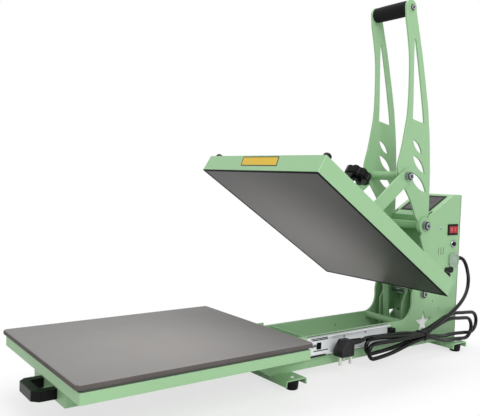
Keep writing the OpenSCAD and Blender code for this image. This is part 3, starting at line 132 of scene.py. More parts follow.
def opened(y, n):
    """How far the strands have drawn apart, from 0 at the tie to 1 at a round end."""
    return ramp(-y / front_half) if y < 0 else ramp(y / rear_half(n) / rear_open_by)


def middle_z(y, n):
    line = middle_front if y < 0 else middle_rear
    share = min(max(y / (front_half if y < 0 else rear_half(n)), -1), 1)
    for (a, za), (b, zb) in zip(line, line[1:]):
        if share <= b:
            return za + (zb - za) * (share - a) / (b - a)


def hank_point(n, d):
    """The point d millimetres into turn n: forward on top, back below, and forward again."""
    r = rear_half(n)
    bend, back = front_half + front_end_l, 2 * front_half + front_end_l + r
    home, lane = back + rear_end_l, 0
    if d < front_half or d >= home:
        y = -d if d < front_half else home + r - d
        up = 1
    elif bend <= d < back:
        y, up = d - bend - front_half, -1
    if front_half <= d < bend:
        a = (d - front_half) / front_r
        y, rise = -front_half - front_r * math.sin(a), front_r * math.cos(a)
    elif back <= d < home:
        a = (d - back) / rear_r
        y, rise = r + rear_r * math.sin(a), -rear_r * math.cos(a)
    else:
        end_r = front_r if y < 0 else rear_r
        rise = up * (waist_half + (end_r - waist_half) * opened(y, n))
    if d >= bend:
        lane = ramp((y - climb_start) / climb_l) if d < back else 1
    return (first_lane - lane_pitch * (n + lane), tie_y + y,
        middle_z(y, n) + hank_lift * (n - 0.5) * opened(y, n) + rise)


def turn_stops(n):
    """Where a turn's points lie: closer together round the ends than along the runs."""
    lengths = (front_half, front_end_l, front_half + rear_half(n), rear_end_l, rear_half(n))
    stops, start = [], 0
    for length, steps in zip(lengths, (6, 8, 14, 8, 6)):
        stops += [start + length * i / steps for i in range(steps)]
        start += length
    return stops


hank_points = [hank_point(n, d) for n in range(hank_turns) for d in turn_stops(n)]
cord_route = [Vector((x, rear_y + y, z)) * MM for x, y, z in lead_points + hank_points + tail_points]


# %% Lead curve
def smooth_curve(name, points, radius, steps=4):
    """A round cord along one smooth open spline."""
    data = bpy.data.curves.new(name, "CURVE")
    data.dimensions = "3D"
    data.bevel_depth = radius
    data.bevel_resolution = 4
    data.use_fill_caps = True
    data.resolution_u = steps
    data.render_resolution_u = steps
    spline = data.splines.new("BEZIER")
    spline.bezier_points.add(len(points) - 1)
    for i, point in enumerate(points):
        knot = spline.bezier_points[i]
        knot.co = point
        before, after = points[max(i - 1, 0)], points[min(i + 1, len(points) - 1)]
        tangent = (after - before).normalized()
        knot.handle_left_type = knot.handle_right_type = "FREE"
        knot.handle_left = point - tangent * (point - before).length / 3
        knot.handle_right = point + tangent * (after - point).length / 3
    obj = bpy.data.objects.new(name, data)
    bpy.context.scene.collection.objects.link(obj)
    return obj


mains_lead = smooth_curve("mains_lead", cord_route, cord_r * MM)
bpy.ops.object.select_all(action="DESELECT")
mains_lead.select_set(True)
bpy.context.view_layer.objects.active = mains_lead
bpy.ops.object.convert(target="MESH")
mains_lead = bpy.context.object
bpy.ops.object.shade_smooth()
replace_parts(mains_lead, "cord_lead", "cord_hank", "cord_tail")
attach(mains_lead, "base")

# %% [markdown]
# ## Shared shader groups
# A finish looks real through small changes over the surface. Each effect is built once as a node
# group with named inputs, and the materials use it with values of their own.

# %% Group helpers
def new_group(name, inputs, outputs):
    """A shader node group with the sockets given as (name, kind, value) and (name, kind)."""
    group = bpy.data.node_groups.new(name, "ShaderNodeTree")
    for label, kind, value in inputs:
        socket = group.interface.new_socket(label, in_out="INPUT", socket_type=kind)
        socket.default_value = value
    for label, kind in outputs:
        group.interface.new_socket(label, in_out="OUTPUT", socket_type=kind)
    return group, group.nodes.new("NodeGroupInput"), group.nodes.new("NodeGroupOutput")


def add_node(tree, kind, label="", **settings):
    node = tree.nodes.new(kind)
    node.label = label
    for key, value in settings.items():
        setattr(node, key, value)
    return node


def math_node(tree, operation, a, b, label=""):
    node = add_node(tree, "ShaderNodeMath", label, operation=operation)
    for socket, value in zip(node.inputs, (a, b)):
        if isinstance(value, (int, float)):
            socket.default_value = value
        else:
            tree.links.new(value, socket)
    return node.outputs[0]


def stretched_noise(group, inn, label, detail):
    """Noise over the object's own coordinates, stretched by the group's Stretch input."""
    place = add_node(group, "ShaderNodeTexCoord")
    stretch = add_node(group, "ShaderNodeVectorMath", "stretch", operation="MULTIPLY")
    noise = add_node(group, "ShaderNodeTexNoise", label)
    noise.inputs["Detail"].default_value = detail
    group.links.new(place.outputs["Object"], stretch.inputs[0])
    group.links.new(inn.outputs["Stretch"], stretch.inputs[1])
    group.links.new(stretch.outputs[0], noise.inputs["Vector"])
    return noise


def swing_tone(group, inn, out, noise):
    """Moves the group's colour up and down with a noise, and gives back how far it swings."""
    centred = math_node(group, "SUBTRACT", noise.outputs["Fac"], 0.5)
    swing = math_node(group, "MULTIPLY", centred, inn.outputs["Amount"])
    gain = math_node(group, "ADD", math_node(group, "MULTIPLY", swing, 2.0), 1.0)
    tint = add_node(group, "ShaderNodeVectorMath", "tone", operation="SCALE")
    group.links.new(inn.outputs["Color"], tint.inputs[0])
    group.links.new(gain, tint.inputs["Scale"])
    group.links.new(tint.outputs[0], out.inputs["Color"])
    return swing


COLOR, FLOAT, VECTOR = "NodeSocketColor", "NodeSocketFloat", "NodeSocketVector"


# %% Mottle: slow changes of tone
def build_mottle():
    group, inn, out = new_group("mottle",
        [("Color", COLOR, (0.5, 0.5, 0.5, 1)), ("Scale", FLOAT, 8.0), ("Amount", FLOAT, 0.06),
            ("Stretch", VECTOR, (1, 1, 1))],
        [("Color", COLOR), ("Mask", FLOAT)])
    cloud = stretched_noise(group, inn, "cloud", 4)
    group.links.new(inn.outputs["Scale"], cloud.inputs["Scale"])
    group.links.new(cloud.outputs["Fac"], out.inputs["Mask"])
    swing_tone(group, inn, out, cloud)
    return group


# %% Grain: fine bumps of a coat or a moulding, and corners rounded for the light
def build_grain():
    group, inn, out = new_group("grain",
        [("Scale", FLOAT, 900.0), ("Depth", FLOAT, 0.1), ("Distance", FLOAT, 0.0003),
            ("Soft", FLOAT, 0.0006)],
        [("Normal", VECTOR), ("Mask", FLOAT)])
    links = group.links
    place = add_node(group, "ShaderNodeTexCoord")
    noise = add_node(group, "ShaderNodeTexNoise", "grain")
    noise.inputs["Detail"].default_value = 2
    bump = add_node(group, "ShaderNodeBump", "grain height")
    soft = add_node(group, "ShaderNodeBevel", "corners that catch light", samples=4)
    links.new(inn.outputs["Soft"], soft.inputs["Radius"])
    links.new(soft.outputs["Normal"], bump.inputs["Normal"])
    links.new(place.outputs["Object"], noise.inputs["Vector"])
    links.new(inn.outputs["Scale"], noise.inputs["Scale"])
    links.new(noise.outputs["Fac"], bump.inputs["Height"])
    links.new(inn.outputs["Depth"], bump.inputs["Strength"])
    links.new(inn.outputs["Distance"], bump.inputs["Distance"])
    links.new(bump.outputs["Normal"], out.inputs["Normal"])
    links.new(noise.outputs["Fac"], out.inputs["Mask"])
    return group


# %% Brushing: long fine scratches one way
def build_brushing():
    group, inn, out = new_group("brushing",
        [("Color", COLOR, (0.7, 0.7, 0.7, 1)), ("Stretch", VECTOR, (600, 8, 600)), ("Amount", FLOAT, 0.08),
            ("Roughness", FLOAT, 0.35)],
        [("Color", COLOR), ("Roughness", FLOAT), ("Normal", VECTOR)])
    scratches = stretched_noise(group, inn, "scratches", 3)
    scratches.inputs["Scale"].default_value = 1
    swing = swing_tone(group, inn, out, scratches)
    rough = math_node(group, "ADD", inn.outputs["Roughness"], swing)
    bump = add_node(group, "ShaderNodeBump", "scratch depth")
    bump.inputs["Strength"].default_value = 0.08
    bump.inputs["Distance"].default_value = 0.0002
    group.links.new(scratches.outputs["Fac"], bump.inputs["Height"])
    group.links.new(rough, out.inputs["Roughness"])
    group.links.new(bump.outputs["Normal"], out.inputs["Normal"])
    return group


# %% Edge wear and highlight: paler where a corner is sharp, partly wear and partly a painted highlight
def build_edge_wear_and_highlight():
    group, inn, out = new_group("edge_wear",
        [("Color", COLOR, (0.5, 0.5, 0.5, 1)), ("Worn", COLOR, (0.8, 0.8, 0.8, 1)), ("Amount", FLOAT, 0.3),
            ("Reach", FLOAT, 0.0015)],
        [("Color", COLOR), ("Mask", FLOAT)])
    links = group.links
    soft = add_node(group, "ShaderNodeBevel", "round the corners", samples=4)
    geometry = add_node(group, "ShaderNodeNewGeometry")
    dot = add_node(group, "ShaderNodeVectorMath", "turned away", operation="DOT_PRODUCT")
    links.new(inn.outputs["Reach"], soft.inputs["Radius"])
    links.new(soft.outputs["Normal"], dot.inputs[0])
    links.new(geometry.outputs["Normal"], dot.inputs[1])
    away = math_node(group, "SUBTRACT", 1.0, dot.outputs["Value"])
    edge = add_node(group, "ShaderNodeMapRange", "edge")
    edge.inputs["From Max"].default_value = 0.25
    links.new(away, edge.inputs["Value"])
    mask = math_node(group, "MULTIPLY", edge.outputs["Result"], inn.outputs["Amount"])
    mix = add_node(group, "ShaderNodeMix", "wear_and_highlight", data_type="RGBA")
    links.new(mask, mix.inputs["Factor"])
    links.new(inn.outputs["Color"], mix.inputs["A"])
    links.new(inn.outputs["Worn"], mix.inputs["B"])
    links.new(mix.outputs["Result"], out.inputs["Color"])
    links.new(mask, out.inputs["Mask"])
    return group


# %% Painted light patch: one tone in the middle of a face and another towards its rim, which paints a pool of light and its shade
def build_painted_light_patch():
    group, inn, out = new_group("painted_light_patch",
        [("Color", COLOR, (0.5, 0.5, 0.5, 1)), ("Rim", COLOR, (0.3, 0.3, 0.3, 1)),
            ("Middle", VECTOR, (0, 0, 0)), ("Reach", VECTOR, (1, 1, 1))],
        [("Color", COLOR), ("Mask", FLOAT)])
    links = group.links
    place = add_node(group, "ShaderNodeTexCoord")
    away = add_node(group, "ShaderNodeVectorMath", "from the middle", operation="SUBTRACT")
    scaled = add_node(group, "ShaderNodeVectorMath", "in reaches", operation="DIVIDE")
    length = add_node(group, "ShaderNodeVectorMath", "distance", operation="LENGTH")
    fade = add_node(group, "ShaderNodeMapRange", "fade", interpolation_type="SMOOTHSTEP")
    mix = add_node(group, "ShaderNodeMix", "light_patch", data_type="RGBA")
    links.new(place.outputs["Object"], away.inputs[0])
    links.new(inn.outputs["Middle"], away.inputs[1])
    links.new(away.outputs[0], scaled.inputs[0])
    links.new(inn.outputs["Reach"], scaled.inputs[1])
    links.new(scaled.outputs[0], length.inputs[0])
    links.new(length.outputs["Value"], fade.inputs["Value"])
    links.new(fade.outputs["Result"], mix.inputs["Factor"])
    links.new(inn.outputs["Color"], mix.inputs["A"])
    links.new(inn.outputs["Rim"], mix.inputs["B"])
    links.new(mix.outputs["Result"], out.inputs["Color"])
    links.new(fade.outputs["Result"], out.inputs["Mask"])
    return group


mottle, grain, brushing, edge_wear = build_mottle(), build_grain(), build_brushing(), build_edge_wear_and_highlight()
painted_light_patch = build_painted_light_patch()


# %% [markdown]
# ## Materials
# sRGB is what a picture stores, and Blender's colours are linear, so each tone read as sRGB is
# turned to linear first. Every material starts from one Principled shader.

# %% Material helpers
def linear(red, green, blue):
    """A linear colour from an sRGB one given as 0 to 255."""
    def channel(v):
        v /= 255
        return v / 12.92 if v <= 0.04045 else ((v + 0.055) / 1.055) ** 2.4
    return (channel(red), channel(green), channel(blue), 1)


def new_material(name, metallic=0.0, roughness=0.5, **sockets):
    """A material with its own Principled shader, whose plain sockets are set here."""
    material = bpy.data.materials.new(name)
    material.use_nodes = True
    shader = material.node_tree.nodes["Principled BSDF"]
    shader.inputs["Metallic"].default_value = metallic
    shader.inputs["Roughness"].default_value = roughness
    for label, value in sockets.items():
        shader.inputs[label.replace("_", " ").title()].default_value = value
    return material, material.node_tree, shader


def use_group(tree, group, **values):
    node = add_node(tree, "ShaderNodeGroup", group.name, node_tree=group)
    for label, value in values.items():
        node.inputs[label.title()].default_value = value
    return node


# %% Painted steel
def powder_coat(name, tone, worn, amount=0.05, rough=0.42):
    """Powder coat: a fine orange-peel skin, slow changes of tone, and corners painted paler as wear and as a
    painted highlight.
    """
    material, tree, shader = new_material(name, roughness=rough)
    clouds = use_group(tree, mottle, color=tone, scale=7.0, amount=amount)
    # Paler corners: partly wear, and partly a painted highlight where the edges catch the light
    wear_and_highlight = use_group(tree, edge_wear, worn=worn, amount=0.55, reach=0.0018)
    peel = use_group(tree, grain, scale=700.0, depth=0.12, distance=0.0003, soft=0.001)
    tree.links.new(clouds.outputs["Color"], wear_and_highlight.inputs["Color"])
    tree.links.new(wear_and_highlight.outputs["Color"], shader.inputs["Base Color"])
    tree.links.new(peel.outputs["Normal"], shader.inputs["Normal"])
    return material


# Each coat's second colour is its paler edge: wear together with a painted highlight
mint_paint = powder_coat("mint_powder_coat", linear(150, 191, 145), linear(216, 237, 210))
# The same mint painted darker, as painted shade, for the parts that sit back in the throat and the box
mint_shade_paint = powder_coat("mint_painted_shade_coat", linear(140, 182, 136), linear(186, 214, 182))
bed_paint = powder_coat("bed_plate_coat", linear(70, 76, 68), linear(110, 118, 108), rough=0.5)


# %% Bare metals
def bare_metal(name, tone, stretch, amount, rough, metallic=1.0):
    """Rolled or turned metal with fine lines along its length."""
    material, tree, shader = new_material(name, metallic=metallic)
    lines = use_group(tree, brushing, color=tone, stretch=stretch, amount=amount, roughness=rough)
    tree.links.new(lines.outputs["Color"], shader.inputs["Base Color"])
    tree.links.new(lines.outputs["Roughness"], shader.inputs["Roughness"])
    tree.links.new(lines.outputs["Normal"], shader.inputs["Normal"])
    return material


slide_zinc = bare_metal("slide_zinc", linear(238, 241, 242), (500, 6, 500), 0.05, 0.34, 0.1)
pin_metal = bare_metal("pin_metal", linear(240, 239, 234), (300, 300, 12), 0.05, 0.25, 0.5)
bolt_chrome = bare_metal("bolt_chrome", linear(168, 171, 174), (200, 200, 200), 0.10, 0.24)
spindle_steel = bare_metal("spindle_steel", linear(190, 192, 192), (60, 60, 900), 0.12, 0.3)
element_steel = bare_metal("element_steel", linear(140, 132, 122), (40, 40, 40), 0.2, 0.45)


# %% Plastics and rubbers
def moulded(name, tone, rough, scale=1200.0, depth=0.12, amount=0.08, shine=0.5, light_patch=None):
    """Moulded plastic or rubber with a fine skin. A light patch, (rim tone, middle, reach), paints light and
    shade across a face.
    """
    material, tree, shader = new_material(name, roughness=rough)
    shader.inputs["Specular IOR Level"].default_value = shine
    clouds = use_group(tree, mottle, color=tone, scale=14.0, amount=amount)
    if light_patch:
        fade = use_group(tree, painted_light_patch, color=tone, rim=light_patch[0], middle=light_patch[1], reach=light_patch[2])
        tree.links.new(fade.outputs["Color"], clouds.inputs["Color"])
    skin = use_group(tree, grain, scale=scale, depth=depth, distance=0.0003)
    tree.links.new(clouds.outputs["Color"], shader.inputs["Base Color"])
    tree.links.new(skin.outputs["Normal"], shader.inputs["Normal"])
    return material


black_plastic = moulded("black_plastic", linear(7, 7, 8), 0.3, shine=0.16)
black_rubber = moulded("black_rubber", linear(14, 14, 15), 0.5, scale=800.0, shine=0.2)
cord_rubber = moulded("cord_rubber", linear(5, 5, 6), 0.2, scale=500.0, depth=0.02, shine=0.26)
grip_foam = moulded("grip_foam", linear(20, 20, 21), 0.8, scale=420.0, depth=0.7, shine=0.2)
# The pad's sides, painted darker as shade
pad_edge = moulded("pad_edge", linear(92, 87, 85), 0.85, scale=260.0, depth=0.6, amount=0.25, shine=0.2)
# The pad is painted lighter in its middle and darker towards its rim, as painted light and shade
pad_silicone_and_painted_light = moulded("pad_silicone_and_painted_light", linear(144, 141, 139), 0.7, scale=420.0, depth=0.3, amount=0.06,
    light_patch=(linear(126, 124, 122), (0.06, -0.36, 0.13), (0.3, 0.36, 1)))
red_plastic = moulded("red_plastic", linear(176, 34, 44), 0.2)
cap_plastic = moulded("cap_plastic", linear(150, 172, 152), 0.35)
relay_plastic = moulded("relay_plastic", linear(224, 222, 212), 0.5)
board_resin = moulded("board_resin", linear(36, 96, 52), 0.4)
# The hot plate's underside: painted light across its middle, and painted shade with the frame's dark
# reflection towards its rim
platen_coat_and_painted_light = moulded("platen_coat_and_painted_light", linear(124, 117, 115), 0.36, scale=900.0, depth=0.03, amount=0.04,
    light_patch=(linear(42, 40, 39), (-0.07, 0.17, 0.29), (0.29, 0.42, 0.42)))
fibre_board = moulded("fibre_board", linear(226, 222, 206), 0.9, scale=300.0, depth=0.5)
display_dark = moulded("display_dark", linear(44, 40, 36), 0.14, depth=0.0, amount=0.03)
display_window = moulded("display_window", linear(20, 22, 20), 0.1, depth=0.0, amount=0.02)
button_grey = moulded("button_grey", linear(104, 106, 104), 0.45)
spring_steel = bare_metal("spring_steel", linear(130, 134, 134), (80, 80, 80), 0.1, 0.3)
mark_pale = moulded("mark_pale", linear(226, 150, 150), 0.4, amount=0.02)
seam_shade = moulded("seam_shade", linear(84, 98, 84), 0.8)
threaded_steel = bare_metal("threaded_steel", linear(88, 90, 92), (40, 40, 40), 0.2, 0.4)
plug_plastic = moulded("plug_plastic", linear(22, 21, 24), 0.4, shine=0.35)
plate_black = moulded("plate_black", linear(40, 38, 34), 0.4)
plate_yellow = moulded("plate_yellow", linear(214, 178, 34), 0.35, amount=0.06)
# Near-black: painted shade in recesses, gaps, slots and seams, and the dark washers and the retainers' black
# ends
slot_dark = moulded("slot_dark", linear(14, 14, 14), 0.7, shine=0.15)
backing_white = moulded("backing_white", linear(253, 254, 252), 0.8, amount=0.01)

# %% Finishes on the CAD nodes
finishes = {
    mint_paint: ("right_side_plate", "left_side_plate", "front_cross_plate", "throat_cross_tube",
        "control_panel", "rear_cover", "front_outrigger", "rear_outrigger", "drawer_hangers", "front_apron",
        "drawer_tray", "platen_cover", "lever_plates", "lever_cross_tube", "lower_links"),
    # These parts sit back in shade and take the darker mint, which paints that shade
    mint_shade_paint: ("pivot_cheeks", "box_front_panel", "lever_spacer_tube", "platen_arms", "pressure_bridge",
        "strut_cylinder"),
    bed_paint: ("bed_plate",),
    slide_zinc: ("slide_outer_members", "slide_middle_members", "slide_inner_members", "foot_screws",
        "grip_tube"),
    spindle_steel: ("pressure_spindle",),
    bolt_chrome: ("main_pivot_shaft", "lever_pivot_bolt", "strut_foot_pin", "breaker_ring", "link_bolts",
        "strut_rod"),
    black_rubber: ("rubber_feet", "slide_stops", "side_grommet", "cord_gland", "mains_plug"),
    black_plastic: ("display_bezel", "switch_housing", "breaker_button", "ball_retainers", "drawer_handle",
        "platen_caps", "pressure_knob", "cord_tie"),
    grip_foam: ("foam_grip",),
    pad_silicone_and_painted_light: ("lower_pad",),
    red_plastic: ("power_rocker",),
    cap_plastic: ("side_cap",),
    display_dark: ("display_glass",),
    board_resin: ("controller_board",),
    relay_plastic: ("relay",),
    platen_coat_and_painted_light: ("heat_platen",),
    element_steel: ("heating_element",),
    fibre_board: ("insulation_board",),
}


def dress(obj, material):
    """Puts one material on the whole of an object."""
    obj.data.materials.clear()
    obj.data.materials.append(material)


for material, names in finishes.items():
    for name in names:
        dress(nodes[name], material)
dress(mains_lead, cord_rubber)

# %% [markdown]
# ## Modelling by hand, in code
# Every added piece starts as a primitive of its real size, given in millimetres, and is shaped in edit
# mode. Operators work on what is selected, so one helper clears the selection, and another picks
# faces or edges by where they lie and which way they point. Two more do what comes up most: they
# round the edges along one axis, and sink the middle of a face.

# %% Modelling helpers
def only(obj):
    """Selects this object and nothing else."""
    if bpy.context.object and bpy.context.object.mode != "OBJECT":
        bpy.ops.object.mode_set(mode="OBJECT")
    bpy.ops.object.select_all(action="DESELECT")
    if obj:
        obj.select_set(True)
        bpy.context.view_layer.objects.active = obj


def settle(name):
    """Names the new primitive and puts its place, turn and size into its mesh."""
    obj = bpy.context.object
    obj.name = obj.data.name = name
    bpy.ops.object.transform_apply(location=True, rotation=True, scale=True)
    return obj


def new_block(name, low, high):
    """A box between two opposite corners."""
    only(None)
    low, high = Vector(low) * MM, Vector(high) * MM
    bpy.ops.mesh.primitive_cube_add(size=1, location=(low + high) / 2, scale=high - low)
    return settle(name)


def new_bar(name, radii, start, end, sides=32):
    """A round bar, or a cone, between two points, with a radius at either end."""
    only(None)
    start, end = Vector(start) * MM, Vector(end) * MM
    bpy.ops.mesh.primitive_cone_add(vertices=sides, radius1=radii[0] * MM, radius2=radii[1] * MM,
        depth=(end - start).length, location=(start + end) / 2,
        rotation=(end - start).to_track_quat("Z", "Y").to_euler())
    return settle(name)


def pick(obj, test, kind="FACE"):
    """Edit mode with the faces or edges selected that pass test(middle in millimetres, direction)."""
    only(obj)
    bpy.ops.object.mode_set(mode="EDIT")
    bpy.ops.mesh.select_mode(type=kind)
    bpy.ops.mesh.select_all(action="DESELECT")
    mesh = bmesh.from_edit_mesh(obj.data)
    for part in (mesh.faces if kind == "FACE" else mesh.edges):
        if kind == "FACE":
            middle, way = part.calc_center_median(), part.normal
        else:
            a, b = (vertex.co for vertex in part.verts)
            middle, way = (a + b) / 2, (b - a).normalized()
        part.select_set(bool(test(middle / MM, way)))
    mesh.select_flush_mode()
    bmesh.update_edit_mesh(obj.data)


def slice_at(obj, place, normal, drop=False):
    """Cuts all the way across at a plane. With drop, what lies on the normal's side goes."""
    only(obj)
    bpy.ops.object.mode_set(mode="EDIT")
    bpy.ops.mesh.select_all(action="SELECT")
    bpy.ops.mesh.bisect(plane_co=Vector(place) * MM, plane_no=normal, use_fill=drop, clear_outer=drop)
    bpy.ops.object.mode_set(mode="OBJECT")


def swell(amount):
    """Extrudes the picked faces along their own normals."""
    bpy.ops.mesh.extrude_region_shrink_fatten(TRANSFORM_OT_shrink_fatten={"value": amount * MM})


def round_corners(obj, axis, radius, segments=3):
    """Rounds the edges that run along one axis: 0 for x, 1 for y, 2 for z."""
    pick(obj, lambda middle, way: abs(way[axis]) > 0.9, "EDGE")
    bpy.ops.mesh.bevel(offset=radius * MM, segments=segments)


def sink(obj, test, inset, depth):
    """Insets the faces that pass the test and moves them in, or out where the depth is negative."""
    pick(obj, test)
    bpy.ops.mesh.inset(thickness=inset * MM)
    swell(-depth)


def round_edges(obj, width, segments=2, limit=30):
    """Bevels every edge that is sharper than the limit in degrees."""
    only(obj)
    rounding = obj.modifiers.new("rounded edges", "BEVEL")
    rounding.width, rounding.segments = width * MM, segments
    rounding.limit_method, rounding.angle_limit = "ANGLE", math.radians(limit)
    bpy.ops.object.modifier_apply(modifier=rounding.name)


def finish_piece(obj, material, body, slot, *replaced, turn=None):
    """Smooths, places and colours a piece. With no material it keeps its own."""
    only(obj)
    if turn:
        obj.matrix_world = turn
        bpy.ops.object.transform_apply(location=True, rotation=True, scale=True)
    bpy.ops.object.shade_smooth_by_angle(angle=math.radians(35))
    if material:
        dress(obj, material)
    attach(obj, body)
    if replaced:
        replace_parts(obj, *replaced)
    return obj


def darken(obj, material, test):
    """A second material on the faces that pass test(middle in millimetres, direction)."""
    obj.data.materials.append(material)
    last = len(obj.data.materials) - 1
    for face in obj.data.polygons:
        if test(face.center / MM, face.normal):
            face.material_index = last


def mirror_copy(obj, name, body):
    """The same piece on the left: a copy with its own mesh, mirrored, its normals turned out again."""
    twin = obj.copy()
    twin.data = obj.data.copy()
    twin.name = twin.data.name = name
    bpy.context.scene.collection.objects.link(twin)
    twin.data.transform(Matrix.Scale(-1, 4, (1, 0, 0)))
    twin.data.flip_normals()
    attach(twin, body)
    return twin


# %% [markdown]
# ## The padded table
# The garment lies on a grey silicone-foam mat. It is firm, so it stays flat, but its corners are
# round, its edge is soft and its middle stands a little proud. Two insets raise the middle of a box,
# then its upright edges get round corners, and last a bevel softens the rim.

# %% Table pad
pad_half, pad_front, pad_back = 202.8, -605.3, -97.7
pad_middle = (pad_front + pad_back) / 2
table_pad = new_block("table_pad", (-pad_half, pad_front, 124), (pad_half, pad_back, 134.2))


def pad_centre(middle, normal):
    return normal.z > 0.9 and abs(middle.x) < 1 and abs(middle.y - pad_middle) < 1


for inset, rise in ((16, 0.45), (50, 0.3)):
    pick(table_pad, pad_centre)
    bpy.ops.mesh.inset(thickness=inset * MM)
    bpy.ops.transform.translate(value=(0, 0, rise * MM))
round_corners(table_pad, 2, 9, 6)
round_edges(table_pad, 3.6, 4)
finish_piece(table_pad, pad_silicone_and_painted_light, "drawer", "pad_rubber", "lower_pad")
# The sides take the darker grey of painted shade
darken(table_pad, pad_edge, lambda middle, way: way.z < 0.8)

# %% [markdown]
# ## The foam grip
# A foam sleeve is pushed over the cross bar. Its ends are rolled in and slightly hollow, and its
# middle is a touch fuller than its ends, so a plain cylinder would look turned from steel.

# %% Foam grip
grip_y, grip_z, sleeve_half, sleeve_r = 335.5, 919, 54.6, 19.2
foam_sleeve = new_bar("foam_sleeve", (sleeve_r, sleeve_r), (-sleeve_half, grip_y, grip_z),
    (sleeve_half, grip_y, grip_z), 48)
for x in (-44, -26, 0, 26, 44):
    slice_at(foam_sleeve, (x, 0, 0), (1, 0, 0))
fuller = 1.02
for reach in (45, 27):
    pick(foam_sleeve, lambda middle, way: abs(middle.x) < reach and abs(way.x) < 0.5, "EDGE")
    bpy.ops.transform.resize(value=(1, fuller, fuller), center_override=Vector((0, grip_y, grip_z)) * MM)
sink(foam_sleeve, lambda middle, normal: abs(normal.x) > 0.9, 5, 1.5)
round_edges(foam_sleeve, 3.2, 4)
finish_piece(foam_sleeve, grip_foam, "lever", "foam", "foam_grip")

# %% [markdown]
# ## Sleeves, gland and plug
# The lead is held where it leaves the rear cover by a tapered rubber boot, and again where it enters
# the plug. Both have rings that let them bend. A cone is sliced across, and each second band is
# pushed in, which leaves the rings standing.

# %% Ringed boot
def ringed_boot(name, radii, start, end, rings, depth):
    boot = new_bar(name, radii, start, end)
    start, end = Vector(start), Vector(end)
    along = (end - start).normalized()
    step = (end - start).length / (2 * rings + 1)
    for i in range(1, 2 * rings + 1):
        slice_at(boot, start + along * step * i, along)

    def in_groove(middle, normal):
        return abs(normal.dot(along)) < 0.5 and int((middle - start).dot(along) / step) % 2 == 1

    pick(boot, in_groove)
    swell(-depth)
    round_edges(boot, 0.3, 1, 50)
    return boot


gland_x, gland_out, gland_z = lead_points[0]
gland_boot = ringed_boot("gland_boot", (9, 5.8), (gland_x, rear_y + 3, gland_z),
    (gland_x, rear_y + gland_out, gland_z), 6, 0.9)
gland_flange = new_bar("gland_flange", (12, 12), (gland_x, rear_y, gland_z),
    (gland_x, rear_y + 3.2, gland_z), 48)
round_edges(gland_flange, 0.8)
for piece in (gland_boot, gland_flange):
    finish_piece(piece, black_rubber, "base", "black_rubber", "cord_gland")

# %% Plug
plug_x, plug_y, plug_low, plug_top = 98.5, 98.5, 52, 90
plug_body = new_block("plug_body", (plug_x - 15, plug_y - 21, plug_low), (plug_x + 15, plug_y + 21, plug_top))
for y, slope in ((plug_y - 5, (0, -24.3, 16)), (plug_y + 18.5, (0, 2.3, 2.5))):
    slice_at(plug_body, (plug_x, y, plug_top), Vector(slope).normalized(), drop=True)
round_edges(plug_body, 1.8, 3)
sink(plug_body, lambda middle, normal: abs(normal.x) > 0.999, 3.5, 0.9)
plug_face = new_block("plug_face", (plug_x - 12, plug_y - 18, plug_low - 0.5),
    (plug_x + 12, plug_y + 18, plug_low + 1))
round_corners(plug_face, 2, 3, 4)
round_edges(plug_face, 0.3, 2)
boot_l, boot_z = 36.5, tail_points[-1][2]
tail_end_y = rear_y + tail_points[-1][1]
plug_boot = ringed_boot("plug_boot", (8.4, 6.6), (plug_x, tail_end_y - boot_l, boot_z),
    (plug_x, tail_end_y, boot_z), 7, 0.9)
for piece in (plug_body, plug_face, plug_boot):
    finish_piece(piece, plug_plastic, "base", "black_plastic", "mains_plug")


# %% Plug pins
def plug_pin(name, x, y, size, bare):
    """A flat pin: a round-shouldered moulded root and a bright end."""
    wide, deep, long = size
    low, high = (x - wide / 2, y - deep / 2), (x + wide / 2, y + deep / 2)
    tip = plug_low - long
    root = new_block(name + "_root", (*low, tip + bare), (*high, plug_low + 1))
    pin = new_block(name, (*low, tip), (*high, tip + bare))
    for piece in (root, pin):
        round_edges(piece, 0.7)
    finish_piece(root, plug_plastic, "base", "black_plastic", "mains_plug")
    finish_piece(pin, pin_metal, "base", "chrome", "mains_plug")
    return root, pin


pin_apart = 11
pins = plug_pin("pin_earth", plug_x, plug_y - pin_apart, (4, 8, 22), 21.5)
for name, side, bare in (("left", -1, 10), ("right", 1, 17.5)):
    pins += plug_pin("pin_live_" + name, plug_x + side * pin_apart, plug_y + pin_apart, (6.4, 4, 18), bare)

# %% [markdown]
# ## On the tilted platen
# The upper platen stands open, so its pieces are modelled lying level, with the platen's hinge at the
# origin, and are then turned and moved to their place by one matrix.

# %% The arm's own frame
open_tilt = math.radians(32.7)
hinge_y, hinge_z = 431.5, 166
on_arm = Matrix.Translation(Vector((0, hinge_y, hinge_z)) * MM) @ Matrix.Rotation(-open_tilt, 4, "X")
under_z, cover_front, cover_back = -29, -631.8, -94.2

# %% [markdown]
# ## Nameplate, left bare
# A thin yellow plate with a dark border is fixed to the front of the cover. It is a sheet with an
# inset field, its upper edge set a little to the left, and it carries nothing. One mesh can have two
# materials, so the field takes the yellow and the rest the black.

# %% Bare plate
bare_plate = new_block("bare_plate", (-58, cover_front - 0.5, under_z + 13.4),
    (73, cover_front, under_z + 39))
pick(bare_plate, lambda middle, normal: normal.z > 0.9)
bpy.ops.transform.translate(value=(-8 * MM, 0, 0))
sink(bare_plate, lambda middle, normal: normal.y < -0.9, 2.2, 0.15)
only(bare_plate)
field_depth = cover_front - 0.4
darken(bare_plate, plate_black, lambda middle, way: True)
darken(bare_plate, plate_yellow, lambda middle, way: way.y < -0.9 and middle.y > field_depth)
finish_piece(bare_plate, None, "upper_platen", "black_plastic", turn=on_arm)

# %% [markdown]
# ## Painted shadow round the hot plate
# The gap between the hot plate and its cover lies in shadow, painted as a dark flat ring: a plane with
# an inset whose middle is taken out, given a thickness.

